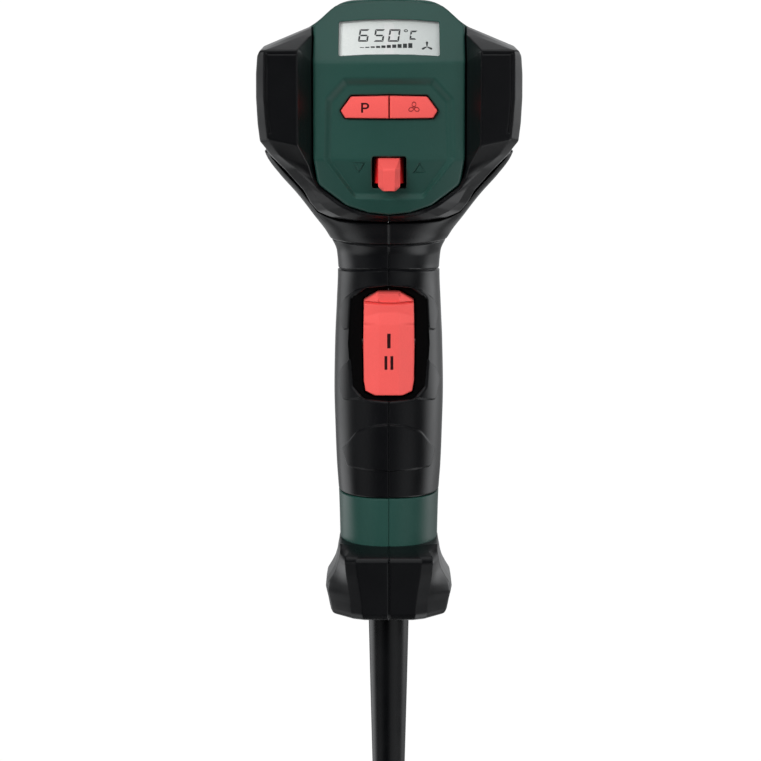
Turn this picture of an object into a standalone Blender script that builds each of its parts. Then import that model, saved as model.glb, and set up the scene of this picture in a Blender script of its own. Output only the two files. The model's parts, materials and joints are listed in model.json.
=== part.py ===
"""Heat gun, electric, pistol form, with a display and keys at the rear.

Frame: +Y is the way the hot air leaves, +Z is up with the handle hanging down, +X is to the
user's right as they look along the barrel. Y = 0 is the plane the tool stands on when it is
put down nose up. The origin is the middle of the handle foot's rest face, in that plane.
Lengths are in millimetres, turned into metres when an object is made, and heights (z) are
measured from the barrel axis. Cutters run well past the piece they cut.
"""

import math

import bmesh
import bpy
import numpy as np
from mathutils import Vector

# ---------------------------------------------------------------- driving dimensions (mm)
MILLIMETRE = 0.001
BARREL_Z = 170.0            # barrel axis above the origin
SEAM = 0.12                 # each housing half stops this far from the centre plane
GAP = 0.3                   # clearance between neighbouring fixed pieces
REAR_Y = 28.0               # depth of the rear module (panel and bumpers)
FRONT_Y = 152.0             # front edge of the housing halves
NOZZLE_END_Y = 250.0        # mouth of the steel outlet
NOZZLE_RADIUS = 17.0
GUARD_RADIUS = 22.5
WALL = 2.5                  # housing wall
GRIP_WALL = 2.0             # soft grip thickness
CORE_WALL = 2.3             # handle core wall under the grip
CORE_INSET = GRIP_WALL + GAP
HOLLOW_INSET = CORE_INSET + CORE_WALL
PANEL_WALL = 2.4
ROCKER_PIVOT = (27.5, -87.0)        # (y, z), axis along x
TOGGLE_Y, TOGGLE_Z = 13.8, -26.0    # upright axis and middle height of the toggle
BAND_TOP, BAND_LOW = -140.7, -156.9     # green band at the foot of the handle
FOOT_LOW = -181.6
FOOT_FLOOR = FOOT_LOW + 3.3         # inside of the foot
CABLE_Y = 27.0
CABLE_RADIUS = 4.0
CABLE_CENTRE = (0.0, CABLE_Y)
RING_POINTS = 24            # points round a full barrel or handle ring

# ---------------------------------------------------------------- scene and materials
for old in list(bpy.data.objects):
    bpy.data.objects.remove(old, do_unlink=True)

ASSEMBLY = bpy.data.objects.new("heat_gun", None)
bpy.context.scene.collection.objects.link(ASSEMBLY)
ASSEMBLY.location = (0, 0, BARREL_Z * MILLIMETRE)

FINISHES = {  # base colour, roughness, metallic
    "green_shell": ((0.030, 0.092, 0.072), 0.45, 0.0),
    "black_rubber": ((0.020, 0.020, 0.023), 0.62, 0.0),
    "black_plastic": ((0.016, 0.016, 0.018), 0.42, 0.0),
    "red_key": ((0.83, 0.115, 0.10), 0.40, 0.0),
    "clear_window": ((0.80, 0.83, 0.83), 0.05, 0.0),
    "display": ((0.52, 0.55, 0.53), 0.30, 0.0),
    "board": ((0.05, 0.20, 0.09), 0.50, 0.0),
    "steel": ((0.62, 0.61, 0.59), 0.28, 1.0),
    "nozzle_steel": ((0.66, 0.64, 0.61), 0.25, 1.0),
    "copper": ((0.72, 0.38, 0.22), 0.35, 1.0),
    "ceramic": ((0.80, 0.76, 0.68), 0.75, 0.0),
    "mica": ((0.52, 0.42, 0.28), 0.55, 0.0),
    "heating_wire": ((0.35, 0.31, 0.28), 0.45, 1.0),
    "fan_plastic": ((0.55, 0.55, 0.53), 0.50, 0.0),
    "filter_mesh": ((0.10, 0.10, 0.10), 0.80, 0.0),
    "cable_rubber": ((0.012, 0.012, 0.014), 0.50, 0.0),
    "core_brown": ((0.20, 0.09, 0.05), 0.50, 0.0),
    "core_blue": ((0.05, 0.16, 0.45), 0.50, 0.0),
    "aluminium": ((0.70, 0.71, 0.72), 0.35, 1.0),
}


def make_material(name, colour, roughness, metallic):
    material = bpy.data.materials.new(name)
    material.use_nodes = True
    shader = material.node_tree.nodes["Principled BSDF"]
    shader.inputs["Base Color"].default_value = (*colour, 1.0)
    shader.inputs["Roughness"].default_value = roughness
    shader.inputs["Metallic"].default_value = metallic
    return material


MATERIALS = {name: make_material(name, *values) for name, values in FINISHES.items()}


# ---------------------------------------------------------------- objects and Booleans
def link_object(mesh):
    obj = bpy.data.objects.new("part", mesh)
    bpy.context.scene.collection.objects.link(obj)
    return obj


def solid(verts, faces):
    """An object from points in mm, cleaned, with its normals outwards."""
    mesh = bpy.data.meshes.new("part")
    mesh.from_pydata([tuple(float(c) * MILLIMETRE for c in v) for v in verts], [], faces)
    work = bmesh.new()
    work.from_mesh(mesh)
    bmesh.ops.remove_doubles(work, verts=work.verts, dist=1e-6)
    bmesh.ops.dissolve_degenerate(work, dist=1e-7, edges=work.edges)
    loose = [edge for edge in work.edges if not edge.link_faces]
    bmesh.ops.delete(work, geom=loose, context="EDGES")
    bmesh.ops.recalc_face_normals(work, faces=work.faces)
    work.to_mesh(mesh)
    work.free()
    return link_object(mesh)


def volume(mesh):
    """Volume in cubic metres, or -1 for a mesh that isn't closed."""
    work = bmesh.new()
    work.from_mesh(mesh)
    closed = all(edge.is_manifold for edge in work.edges)
    size = work.calc_volume(signed=True) if closed else -1.0
    work.free()
    return size


def boolean(target, cutter, operation):
    """Applies a Boolean and removes the cutter.

    EXACT does the work; MANIFOLD is the second try where EXACT's volume can't be right.
    """
    size, other = volume(target.data), volume(cutter.data)
    slack = 2e-10
    low, high = {
        "DIFFERENCE": (size - other - slack, size + slack),
        "UNION": (max(size, other) - slack, size + other + slack),
        "INTERSECT": (slack, min(size, other) + slack),
    }[operation]
    for solver in ("EXACT", "MANIFOLD"):
        modifier = target.modifiers.new("cut", "BOOLEAN")
        modifier.operation = operation
        modifier.solver = solver
        modifier.object = cutter
        bpy.context.view_layer.update()
        graph = bpy.context.evaluated_depsgraph_get()
        result = bpy.data.meshes.new_from_object(target.evaluated_get(graph))
        target.modifiers.clear()
        if low <= volume(result) <= high and len(result.polygons):
            break
    target.data = result
    bpy.data.objects.remove(cutter, do_unlink=True)
    return target


def cut(target, *cutters):
    for cutter in cutters:
        boolean(target, cutter, "DIFFERENCE")
    return target


def join(target, other):
    return boolean(target, other, "UNION")


def keep_inside(target, other):
    return boolean(target, other, "INTERSECT")


def mirrored_copy(obj):
    """A copy on the other side of the centre plane."""
    mesh = obj.data.copy()
    work = bmesh.new()
    work.from_mesh(mesh)
    for vert in work.verts:
        vert.co.x = -vert.co.x
    bmesh.ops.reverse_faces(work, faces=work.faces)
    work.to_mesh(mesh)
    work.free()
    return link_object(mesh)


def drop_slivers(obj):
    """Drops bodies left loose by a cut, keeping the one with the most points."""
    work = bmesh.new()
    work.from_mesh(obj.data)
    unseen, bodies = set(work.verts), []
    for first in work.verts:
        if first not in unseen:
            continue
        body, queue = [], [first]
        unseen.discard(first)
        while queue:
            vert = queue.pop()
            body.append(vert)
            for edge in vert.link_edges:
                neighbour = edge.other_vert(vert)
                if neighbour in unseen:
                    unseen.discard(neighbour)
                    queue.append(neighbour)
        bodies.append(body)
    bodies.sort(key=len)
    for body in bodies[:-1]:
        bmesh.ops.delete(work, geom=body, context="VERTS")
    work.to_mesh(obj.data)
    work.free()
    return obj


def finish(obj, name, material, pivot=(0, 0, 0), smooth=35.0):
    """Gives a piece its name, material, parent, origin (mm) and smoothing angle (degrees)."""
    obj.name = name
    obj.data.materials.clear()
    obj.data.materials.append(MATERIALS[material])
    obj.data.shade_smooth()
    obj.data.set_sharp_from_angle(angle=math.radians(smooth))
    shift = Vector(pivot) * MILLIMETRE
    for vert in obj.data.vertices:
        vert.co -= shift
    obj.location = shift
    obj.parent = ASSEMBLY


def finish_pair(right, name, material, smooth=35.0):
    """Finishes a right-hand piece and its mirror image."""
    finish(mirrored_copy(right), name + "_left", material, smooth=smooth)
    finish(right, name + "_right", material, smooth=smooth)


def finish_halves(whole, name, material, smooth=35.0, tidy=False):
    """Parts a whole body at the seam and finishes the two halves."""
    left = link_object(whole.data.copy())
    for obj, side, suffix in ((left, -1, "_left"), (whole, 1, "_right")):
        keep_inside(obj, side_box(side, (SEAM, 120.0), (-60, 300), (-320, 120)))
        if tidy:
            drop_slivers(obj)
        finish(obj, name + suffix, material, smooth=smooth)


# ---------------------------------------------------------------- basic solids
def place(axis, first, second, along):
    """A point from its two cross coordinates, in x, y, z order, and its place along the axis."""
    return {
        "X": (along, first, second),
        "Y": (first, along, second),
        "Z": (first, second, along),
    }[axis]


def box(low, high):
    (x0, y0, z0), (x1, y1, z1) = low, high
    verts = [(x, y, z) for x in (x0, x1) for y in (y0, y1) for z in (z0, z1)]
    faces = [(0, 1, 3, 2), (4, 6, 7, 5), (0, 4, 5, 1), (2, 3, 7, 6), (0, 2, 6, 4), (1, 5, 7, 3)]
    return solid(verts, faces)


def side_box(side, x_range, y_range, z_range):
    """A box on the right (side 1) or left (side -1), with x measured outwards."""
    x0, x1 = sorted(side * x for x in x_range)
    return box((x0, y_range[0], z_range[0]), (x1, y_range[1], z_range[1]))


def prism(outline, axis, start, end):
    """A flat outline of cross coordinates pushed along an axis."""
    n = len(outline)
    verts = [place(axis, *point, along) for along in (start, end) for point in outline]
    faces = [tuple(range(n)), tuple(range(n, 2 * n))]
    faces += [(i, (i + 1) % n, n + (i + 1) % n, n + i) for i in range(n)]
    return solid(verts, faces)


def loft(rings, wrap=False, split=False):
    """Faces between rings of the same count, capped at both ends unless it wraps.

    Split quads keep offset skins parallel.
    """
    n, count = len(rings[0]), len(rings)
    verts = [point for ring in rings for point in ring]
    faces = []
    for i in range(count if wrap else count - 1):
        j = (i + 1) % count
        faces += [
            (i * n + k, i * n + (k + 1) % n, j * n + (k + 1) % n, j * n + k) for k in range(n)
        ]
    if split:
        faces = [half for a, b, c, d in faces for half in ((a, b, c), (a, c, d))]
    if not wrap:
        faces += [tuple(range(n)), tuple(range((count - 1) * n, count * n))]
    return solid(verts, faces)


def on_circle(axis, centre, radius, along, step, steps):
    angle = 2 * math.pi * step / steps
    return place(
        axis, centre[0] + radius * math.cos(angle), centre[1] + radius * math.sin(angle), along
    )


def turned(profile, axis="Y", centre=(0.0, 0.0), steps=24):
    """A closed profile of (radius, along) points turned about an axis."""
    return loft(
        [[on_circle(axis, centre, radius, along, k, steps) for radius, along in profile]
         for k in range(steps)],
        wrap=True,
    )


def rod(radius, start, end, axis="Y", centre=(0.0, 0.0), steps=12):
    return loft(
        [[on_circle(axis, centre, radius, along, k, steps) for k in range(steps)]
         for along in (start, end)]
    )


def tube(radius, bore, start, end, axis="Y", centre=(0.0, 0.0), steps=24):
    """A straight tube; the bore is a radius."""
    return turned([(radius, start), (radius, end), (bore, end), (bore, start)],
                  axis, centre, steps)


def mirrored(right, grow=0.0):
    """Full outline from its right side, moved outwards by about the growth."""
    middle = sum(point[1] for point in right) / len(right)
    points = right + [(-x, z) for x, z in reversed(right) if x]
    return [
        (x + (grow if x > 0 else -grow if x < 0 else 0), z + (grow if z > middle else -grow))
        for x, z in points
    ]


# ---------------------------------------------------------------- outer form: barrel
# flats of the faceted rear section, as (direction of the normal in degrees, distance)
TOWER = [(90, 32.2), (46.2, 34.6), (133.8, 34.6), (0, 40), (180, 40), (-90, 20)]
WINGS = [
    (0, 43.4), (180, 43.4), (66.8, 31.6), (113.2, 31.6), (-35.4, 44.6), (-144.6, 44.6),
    (-78.7, 41.0), (-101.3, 41.0), (-90, 42.0),
]
CORNER_POWER = 20.0             # higher is sharper between the flats
TOWER_BLEND = 2.0               # width of the blend between tower and wings
FACETED_Y, ROUND_Y = 36.0, 104.0    # fully faceted behind the first, round after the second
ROUND_STATIONS = [28, 104, 152]     # y of the round section's radii
ROUND_RADII = [33.0, 30.6, 26.6]
BARREL_STATIONS = (28.3, 40, 54, 68, 84, 104, 117, 152)


def faceted_radius(flats, cosine, sine):
    total = 0.0
    for degrees, distance in flats:
        normal = math.radians(degrees)
        reach = (math.cos(normal) * cosine + math.sin(normal) * sine) / distance
        total = total + np.maximum(0.0, reach) ** CORNER_POWER
    return total ** (-1.0 / CORNER_POWER)


def barrel_radius(y, angle, inset):
    """Distance from the barrel axis to the skin, less the inset."""
    cosine, sine = np.cos(angle), np.sin(angle)
    tower = faceted_radius(TOWER, cosine, sine)
    wings = faceted_radius(WINGS, cosine, sine)
    mix = np.clip(0.5 + 0.5 * (tower - wings) / TOWER_BLEND, 0, 1)
    faceted = wings * (1 - mix) + tower * mix + TOWER_BLEND * mix * (1 - mix)
    step = np.clip((y - FACETED_Y) / (ROUND_Y - FACETED_Y), 0, 1)
    roundness = step * step * (3 - 2 * step)
    circle = np.interp(y, ROUND_STATIONS, ROUND_RADII)
    return faceted * (1 - roundness) + circle * roundness - inset


def barrel(start, end, inset):
    inner = [y for y in BARREL_STATIONS if start + 0.5 < y < end - 0.5]
    angles = np.radians(90 + 360 * np.arange(RING_POINTS) / RING_POINTS)
    rings = []
    for y in [start] + inner + [end]:
        radii = barrel_radius(y, angles, inset)
        rings.append([(r * math.cos(a), y, r * math.sin(a)) for r, a in zip(radii, angles)])
    return loft(rings, split=True)


# ---------------------------------------------------------------- outer form: handle
# z, half width, rear y, front y, rear exponent, front exponent; reversed so that z rises
HANDLE = np.array([
    (-14.0, 45.0, 18.0, 118.0, 7.0, 1.20),
    (-21.6, 42.5, 18.0, 110.0, 6.5, 1.25),
    (-28.0, 38.4, 18.1, 101.0, 5.5, 1.35),
    (-35.1, 32.3, 18.2, 90.5, 4.6, 1.55),
    (-42.3, 26.9, 18.4, 80.5, 3.8, 1.80),
    (-49.4, 21.95, 21.0, 72.8, 3.0, 2.05),
    (-56.6, 18.7, 23.6, 68.2, 2.5, 2.2),
    (-63.8, 18.2, 23.6, 66.2, 2.35, 2.25),
    (-74.4, 18.6, 22.0, 65.4, 2.35, 2.25),
    (-88.6, 19.2, 19.7, 63.6, 2.35, 2.25),
    (-104.0, 19.45, 17.2, 60.6, 2.35, 2.25),
    (-120.5, 19.0, 14.8, 57.2, 2.35, 2.25),
    (-131.2, 18.55, 13.4, 55.2, 2.35, 2.25),
    (-141.8, 17.8, 12.0, 53.4, 2.35, 2.25),
    (-157.3, 17.35, 10.2, 52.0, 2.35, 2.25),
])[::-1]
HALF_WIDTH, REAR, FRONT, REAR_POWER, FRONT_POWER = range(1, 6)      # columns of HANDLE
HANDLE_ROWS = (
    -14, -24, -35, -42, -49.4, -56.6, -66, -88.6, -110, -131.2, -145, -157.3,
)


def handle_value(column, z):
    """Monotone cubic through a column of HANDLE, so it has no bumps between stations."""
    xs, ys = HANDLE[:, 0], HANDLE[:, column]
    steps = np.diff(xs)
    slopes = np.diff(ys) / steps
    tangents = np.zeros_like(ys)
    tangents[0], tangents[-1] = slopes[0], slopes[-1]
    for i in range(1, len(xs) - 1):
        if slopes[i - 1] * slopes[i] > 0:
            before = 2 * steps[i] + steps[i - 1]
            after = steps[i] + 2 * steps[i - 1]
            tangents[i] = (before + after) / (before / slopes[i - 1] + after / slopes[i])
    z = np.clip(z, xs[0], xs[-1])
    i = np.clip(np.searchsorted(xs, z) - 1, 0, len(steps) - 1)
    t = (z - xs[i]) / steps[i]
    return float(
        (2 * t**3 - 3 * t**2 + 1) * ys[i]
        + (t**3 - 2 * t**2 + t) * steps[i] * tangents[i]
        + (-2 * t**3 + 3 * t**2) * ys[i + 1]
        + (t**3 - t**2) * steps[i] * tangents[i + 1]
    )


def handle_ring(z, inset):
    """Superellipse section, whose widest point moves rearwards up the neck."""
    half_width = handle_value(HALF_WIDTH, z)
    rear, front = handle_value(REAR, z), handle_value(FRONT, z)
    rear_power, front_power = handle_value(REAR_POWER, z), handle_value(FRONT_POWER, z)
    if z < -60:
        middle = (rear + front) / 2
    else:
        middle = rear + (front - rear) * (0.5 - 0.22 * min(1, (z + 60) / 34.0))
    ring = []
    for k in range(RING_POINTS):
        angle = 2 * math.pi * k / RING_POINTS
        sine, cosine = math.sin(angle), math.cos(angle)
        power = rear_power if cosine >= 0 else front_power
        depth = (middle - rear if cosine >= 0 else front - middle) - inset
        x = (half_width - inset) * math.copysign(abs(sine) ** (2 / power), sine)
        y = middle - math.copysign(abs(cosine) ** (2 / power), cosine) * depth
        ring.append((x, y, z))
    return ring


def handle(top, bottom, inset):
    inner = [z for z in HANDLE_ROWS if bottom + 0.6 < z < top - 0.6]
    return loft([handle_ring(z, inset) for z in [top] + inner + [bottom]], split=True)


# ---------------------------------------------------------------- shared lines and openings
# line on the side where the soft grip ends and the green barrel starts, as (y, z)
SADDLE = [(20.0, -19.5), (58.0, -20.5), (84.0, -25.5), (106.0, -33.0)]
# right side of the bumpers' lower edge from behind, as (x, z): the neck starts below it
NECK_LINE = [(0.0, -45.6), (14.0, -44.95), (23.5, -43.2), (60.0, -38.3)]
# right side of the switch opening from behind, as (x, z), from the top down
OPENING = [
    (0, -66.1), (8.0, -67.2), (12.7, -71.5), (13.6, -87.3), (12.4, -101.2), (8.7, -105.1),
    (0, -105.6),
]
# housing screws, driven in from the left, as (y, z); the first is in the barrel
SCREWS = [
    (36.5, 25.5), (72.0, -37.5), (36.5, -37.0), (57.5, -60.5), (50.0, -116.0), (43.0, -132.5),
]
GRILLE_Y, GRILLE_Z = (41.0, 63.0), (-9.0, 13.0)     # intake window in each side
GRILLE_X = (20.0, 60.0)         # reach of its cutters, outwards


def below_saddle(shift):
    """Everything below the saddle line moved down by the shift."""
    line = [(y, z - shift) for y, z in SADDLE]
    rest = [(140.0, -60.0), (140.0, -260.0), (0.0, -260.0), (0.0, line[0][1])]
    return prism(line + rest, "X", -80, 80)


def above_saddle(shift):
    """Everything above the saddle line moved up by the shift."""
    line = [(y, z + shift) for y, z in SADDLE]
    rest = [(140.0, -59.7), (200.0, -59.7), (200.0, 80.0), (0.0, 80.0), (0.0, line[0][1])]
    return prism(line + rest, "X", -80, 80)


def rear_module_cutter():
    return prism(mirrored(NECK_LINE + [(60, 60)]), "Y", -20.0, REAR_Y + GAP)


def switch_opening_cutter():
    return prism(mirrored(OPENING), "Y", -10.0, 36.0)


def side_window(side, grow):
    """The intake window as a block, grown all round."""
    y_range = (GRILLE_Y[0] - grow, GRILLE_Y[1] + grow)
    z_range = (GRILLE_Z[0] - grow, GRILLE_Z[1] + grow)
    return side_box(side, GRILLE_X, y_range, z_range)


# ---------------------------------------------------------------- soft grip
def build_grip():
    grip = handle(-14.0, BAND_TOP + GAP, 0.0)
    keep_inside(grip, below_saddle(GAP / 2))
    cut(grip, handle(-5.0, BAND_TOP - 5.0, GRIP_WALL))
    cut(grip, barrel(20.0, 125.0, GRIP_WALL))
    cut(grip, rear_module_cutter(), switch_opening_cutter())
    for screw in SCREWS[1:]:
        cut(grip, rod(4.2, -60, -2, "X", screw, steps=16))
    finish_halves(grip, "grip", "black_rubber", tidy=True)


# ---------------------------------------------------------------- intake grilles and filters
SLOT_COUNT, SLOT_PITCH, SLOT_HALF_HEIGHT = 4, 4.5, 1.2
FIRST_SLOT, SLOT_END = 4.0, 2.5     # first slot above the window's foot; bar at slot ends


def build_intakes():
    grille = keep_inside(barrel(30.0, 75.0, 0.2), side_window(1, -GAP))
    cut(grille, barrel(26.0, 80.0, 2.2))
    for k in range(SLOT_COUNT):
        z = GRILLE_Z[0] + FIRST_SLOT + SLOT_PITCH * k
        slot_y = (GRILLE_Y[0] + SLOT_END, GRILLE_Y[1] - SLOT_END)
        slot_z = (z - SLOT_HALF_HEIGHT, z + SLOT_HALF_HEIGHT)
        cut(grille, side_box(1, GRILLE_X, slot_y, slot_z))
    finish_pair(grille, "intake_grille", "black_plastic")

    mesh_filter = keep_inside(barrel(30.0, 75.0, WALL + 0.8), side_window(1, 2.0))
    cut(mesh_filter, barrel(26.0, 80.0, WALL + 1.6))
    finish_pair(mesh_filter, "filter", "filter_mesh")


# ---------------------------------------------------------------- green housing
CLAMP_Z = (-153.0, -147.0)          # cable clamp and its seats
CLAMP_SCREW_X, CLAMP_SCREW_Z = 8.4, -150.0
SEAT_X = (5.6, 11.4)                # clamp seat, outwards from the centre plane
SEAT_TOP_Y = CABLE_Y + 5.4


def clamp_screw_bore(side):
    return rod(1.45, 18.0, 60.0, "Y", (side * CLAMP_SCREW_X, CLAMP_SCREW_Z))


def housing_skin():
    """Barrel, handle core under the grip, and the bare band at the handle's full size."""
    shell = keep_inside(barrel(REAR_Y + GAP, FRONT_Y, 0.0), above_saddle(GAP / 2))
    join(shell, keep_inside(barrel(REAR_Y + GAP, 118.0, CORE_INSET), below_saddle(-4.0)))
    core = handle(-24.0, FOOT_FLOOR + GAP, CORE_INSET)
    join(shell, cut(core, rear_module_cutter()))
    return join(shell, handle(BAND_TOP, BAND_LOW, 0.25))


def housing_hollow():
    hollow = handle(-20.0, FOOT_LOW - 4.0, HOLLOW_INSET)
    join(hollow, keep_inside(barrel(REAR_Y - 8.0, FRONT_Y + 8.0, WALL), above_saddle(1.6)))
    return join(hollow, barrel(REAR_Y - 8.0, 112.0, HOLLOW_INSET))


def build_housing():
    shell = cut(housing_skin(), housing_hollow())
    cut(shell, switch_opening_cutter(), side_window(1, 0.0), side_window(-1, 0.0))
    # screw bosses, trimmed to the inside of the skin
    for k, screw in enumerate(SCREWS):
        boss = rod(3.6, -50, 50, "X", screw)
        if k == 0:
            limit = barrel(REAR_Y + GAP, 120.0, 1.2)
        else:
            limit = handle(-15.0, -150.0, CORE_INSET + 0.8)
        join(shell, keep_inside(boss, limit))
    # the two seats of the cable clamp, on the rear wall
    for side in (-1, 1):
        seat = side_box(side, SEAT_X, (12.0, SEAT_TOP_Y), CLAMP_Z)
        join(shell, keep_inside(seat, handle(-140.0, -160.0, CORE_INSET + 0.8)))
        cut(shell, clamp_screw_bore(side))
    # shank and head holes
    for screw in SCREWS:
        cut(shell, rod(1.35, -60, 12.0, "X", screw), rod(3.0, -60, -9.0, "X", screw))
    finish_halves(shell, "housing", "green_shell")


# (radius, x) from the head's face to the tip
HOUSING_SCREW = [(0.0, -12.6), (2.6, -12.6), (2.6, -9.5), (1.1, -9.3), (1.1, 9.0), (0.0, 9.8)]


def build_housing_screws():
    for k, (y, z) in enumerate(SCREWS):
        screw = turned(HOUSING_SCREW, "X", (y, z), steps=8)
        cut(screw, box((-20, y - 2.0, z - 0.35), (-11.6, y + 2.0, z + 0.35)))
        finish(screw, f"housing_screw_{k + 1}", "steel")


# ---------------------------------------------------------------- rubber bumpers
# each station runs from the panel's edge over the ridge and the outer rim to the back:
# inner edge, ridge, outer edge of the rest face, rim, back outside, back inside; (x, y, z)
BUMPER = [
    [(26.4, 20.0, 21.6), (26.9, 18.4, 21.8), (27.3, 18.8, 22.2),
     (27.8, 21.0, 22.4), (27.8, 28.0, 22.6), (26.4, 28.0, 21.9)],
    [(26.4, 13.2, 15.6), (30.9, 0.0, 16.2), (42.0, 0.0, 16.0),
     (43.3, 2.6, 16.6), (43.3, 28.0, 17.1), (26.4, 28.0, 15.6)],
    [(26.4, 7.6, 2.0), (30.9, 0.0, 1.0), (42.3, 0.0, 0.8),
     (44.9, 3.2, 1.6), (45.0, 28.0, 1.6), (26.4, 28.0, 2.0)],
    [(26.4, 7.6, -17.0), (31.0, 0.0, -15.6), (40.6, 0.0, -13.5),
     (43.5, 3.2, -14.2), (43.7, 28.0, -14.6), (26.4, 28.0, -15.0)],
    [(26.4, 8.6, -22.8), (28.8, 5.0, -23.2), (38.0, 5.0, -19.4),
     (40.6, 6.6, -19.2), (40.8, 28.0, -19.8), (26.4, 28.0, -20.4)],
    [(24.9, 11.0, -30.4), (24.9, 9.5, -33.0), (31.5, 10.5, -29.5),
     (33.4, 13.8, -28.9), (33.8, 28.0, -29.5), (23.6, 28.0, -27.6)],
    [(19.8, 11.6, -35.2), (19.4, 11.4, -37.6), (26.8, 13.6, -38.0),
     (27.6, 18.0, -38.4), (27.8, 28.0, -39.0), (19.4, 28.0, -32.6)],
    [(14.7, 12.0, -38.4), (14.4, 12.5, -40.5), (19.6, 15.6, -43.1),
     (20.6, 20.0, -43.4), (20.6, 28.0, -43.5), (14.7, 28.0, -36.0)],
    [(6.9, 12.1, -40.8), (6.9, 14.0, -42.4), (9.0, 16.6, -44.6),
     (9.5, 21.0, -44.8), (9.5, 28.0, -44.9), (6.9, 28.0, -38.2)],
    [(SEAM, 12.2, -41.5), (SEAM, 14.5, -43.0), (SEAM, 17.0, -45.1),
     (SEAM, 21.5, -45.2), (SEAM, 28.0, -45.2), (SEAM, 28.0, -38.7)],
]


def build_bumpers():
    finish_pair(loft(BUMPER), "bumper", "black_rubber", smooth=20)


# ---------------------------------------------------------------- foot
FOOT = [  # z, half width, rear y, half width of the rear face, front y
    (-157.2, 17.5, 10.0, 8.0, 52.3),
    (-159.0, 17.9, 1.0, 11.0, 53.2),
    (-160.8, 18.4, 0.0, 11.6, 54.0),
    (-164.4, 20.1, 0.0, 11.1, 55.2),
    (-168.0, 22.3, 0.0, 10.5, 56.0),
    (-171.7, 22.3, 0.0, 10.0, 56.4),
    (-175.6, 21.7, 0.0, 9.4, 56.2),
    (-179.0, 21.0, 0.0, 9.4, 55.4),
    (-181.6, 19.6, 2.0, 8.6, 53.6),
]


def foot_ring(z, width, rear, face, front):
    right = [
        (0, rear), (face, rear), (face + 3.9, rear + 1.8), (width - 0.5, rear + 8.6),
        (width, rear + 13.0), (width, 31.0), (width * 0.93, 41.0),
        (width * 0.72, front - 4.6), (width * 0.42, front - 0.9), (0, front),
    ]
    return [(x, y, z) for x, y in mirrored(right)]


def build_foot():
    foot = loft([foot_ring(*row) for row in FOOT])
    cut(foot, handle(-150.0, FOOT_FLOOR, GRIP_WALL))
    cut(foot, rod(7.7, -190, -170, "Z", CABLE_CENTRE, steps=24))
    finish_halves(foot, "foot", "black_plastic", smooth=25)


# ---------------------------------------------------------------- control panel
# right sides of outlines seen from behind, as (x, z)
PANEL = [
    (0, 32.2), (10.35, 31.6), (18.4, 30.6), (20, 29.2), (24, 25.2), (26.0, 23.2),
    (25.9, 11.8), (25.9, -20.7), (24.4, -30.0), (14.5, -37.5), (6.9, -40.0), (0, -40.7),
]
RECESS = [(0, 6.7), (15.55, 6.7), (21.9, -0.45), (22.5, -20.9), (11.8, -35), (0, -35.5)]
WINDOW = [(0, 25.8), (16.6, 25.0), (17.2, 24.2), (17.2, 14.3), (16.6, 13.7), (0, 14.2)]
TOGGLE_HOLE = [
    (0, -20.1), (5.2, -20.1), (5.85, -20.8), (5.85, -30.6), (5.2, -31.3), (0, -31.3),
]
KEY = [(0.3, 0.5), (12.9, 0.2), (16.45, -4.6), (14.9, -7.0), (0.3, -7.1)]   # right key, whole
KEY_HOLE = [        # the full hole, shared by both keys
    (-16.9, -4.6), (-13.3, 0.9), (13.3, 0.9), (16.9, -4.6), (15.2, -7.5), (-15.2, -7.5),
]
KEY_BACK_Y = 10.2
# the panel's surface bends at two heights and bows forwards towards its sides
UPPER_BEND_Y, UPPER_BEND_Z, UPPER_SLOPE = 5.5, 11.9, 1.04
LOWER_BEND_Y, LOWER_BEND_Z, LOWER_SLOPE = 4.6, -21.3, 0.386
BOW = 220.0                     # y grows by x squared over this
SLAB_X = range(-30, 31, 6)
SLAB_Z = (-48, LOWER_BEND_Z, UPPER_BEND_Z, 36)
TOGGLE_EARS = ((-19.9, -17.9), (-33.6, -31.6))      # z ranges


def panel_y(x, z):
    """The panel's rear surface."""
    if z > UPPER_BEND_Z:
        base = UPPER_BEND_Y + (z - UPPER_BEND_Z) * UPPER_SLOPE
    elif z > LOWER_BEND_Z:
        rise, height = UPPER_BEND_Y - LOWER_BEND_Y, UPPER_BEND_Z - LOWER_BEND_Z
        base = LOWER_BEND_Y + (z - LOWER_BEND_Z) * rise / height
    else:
        base = LOWER_BEND_Y + (LOWER_BEND_Z - z) * LOWER_SLOPE
    return base + x * x / BOW


def slab(near, far):
    """The solid between two copies of the panel's surface, at depths near and far in +Y."""
    n, rows = len(SLAB_X), len(SLAB_Z)
    layer = n * rows
    verts = [
        (x, panel_y(x, z) + depth, z) for depth in (near, far) for z in SLAB_Z for x in SLAB_X
    ]
    faces = []
    for j in range(rows - 1):
        for i in range(n - 1):
            a = j * n + i
            b = a + layer
            faces += [(a, a + 1, a + n + 1), (a, a + n + 1, a + n)]
            faces += [(b, b + n + 1, b + 1), (b, b + n, b + n + 1)]
    rim = list(range(n)) + [j * n + n - 1 for j in range(1, rows)]
    rim += [layer - 1 - i for i in range(1, n)] + [j * n for j in range(rows - 2, 0, -1)]
    faces += [(a, b, b + layer, a + layer) for a, b in zip(rim, rim[1:] + rim[:1])]
    return solid(verts, faces)


def toggle_bore():
    return rod(1.15, -40, -10, "Z", (0, TOGGLE_Y))


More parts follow.
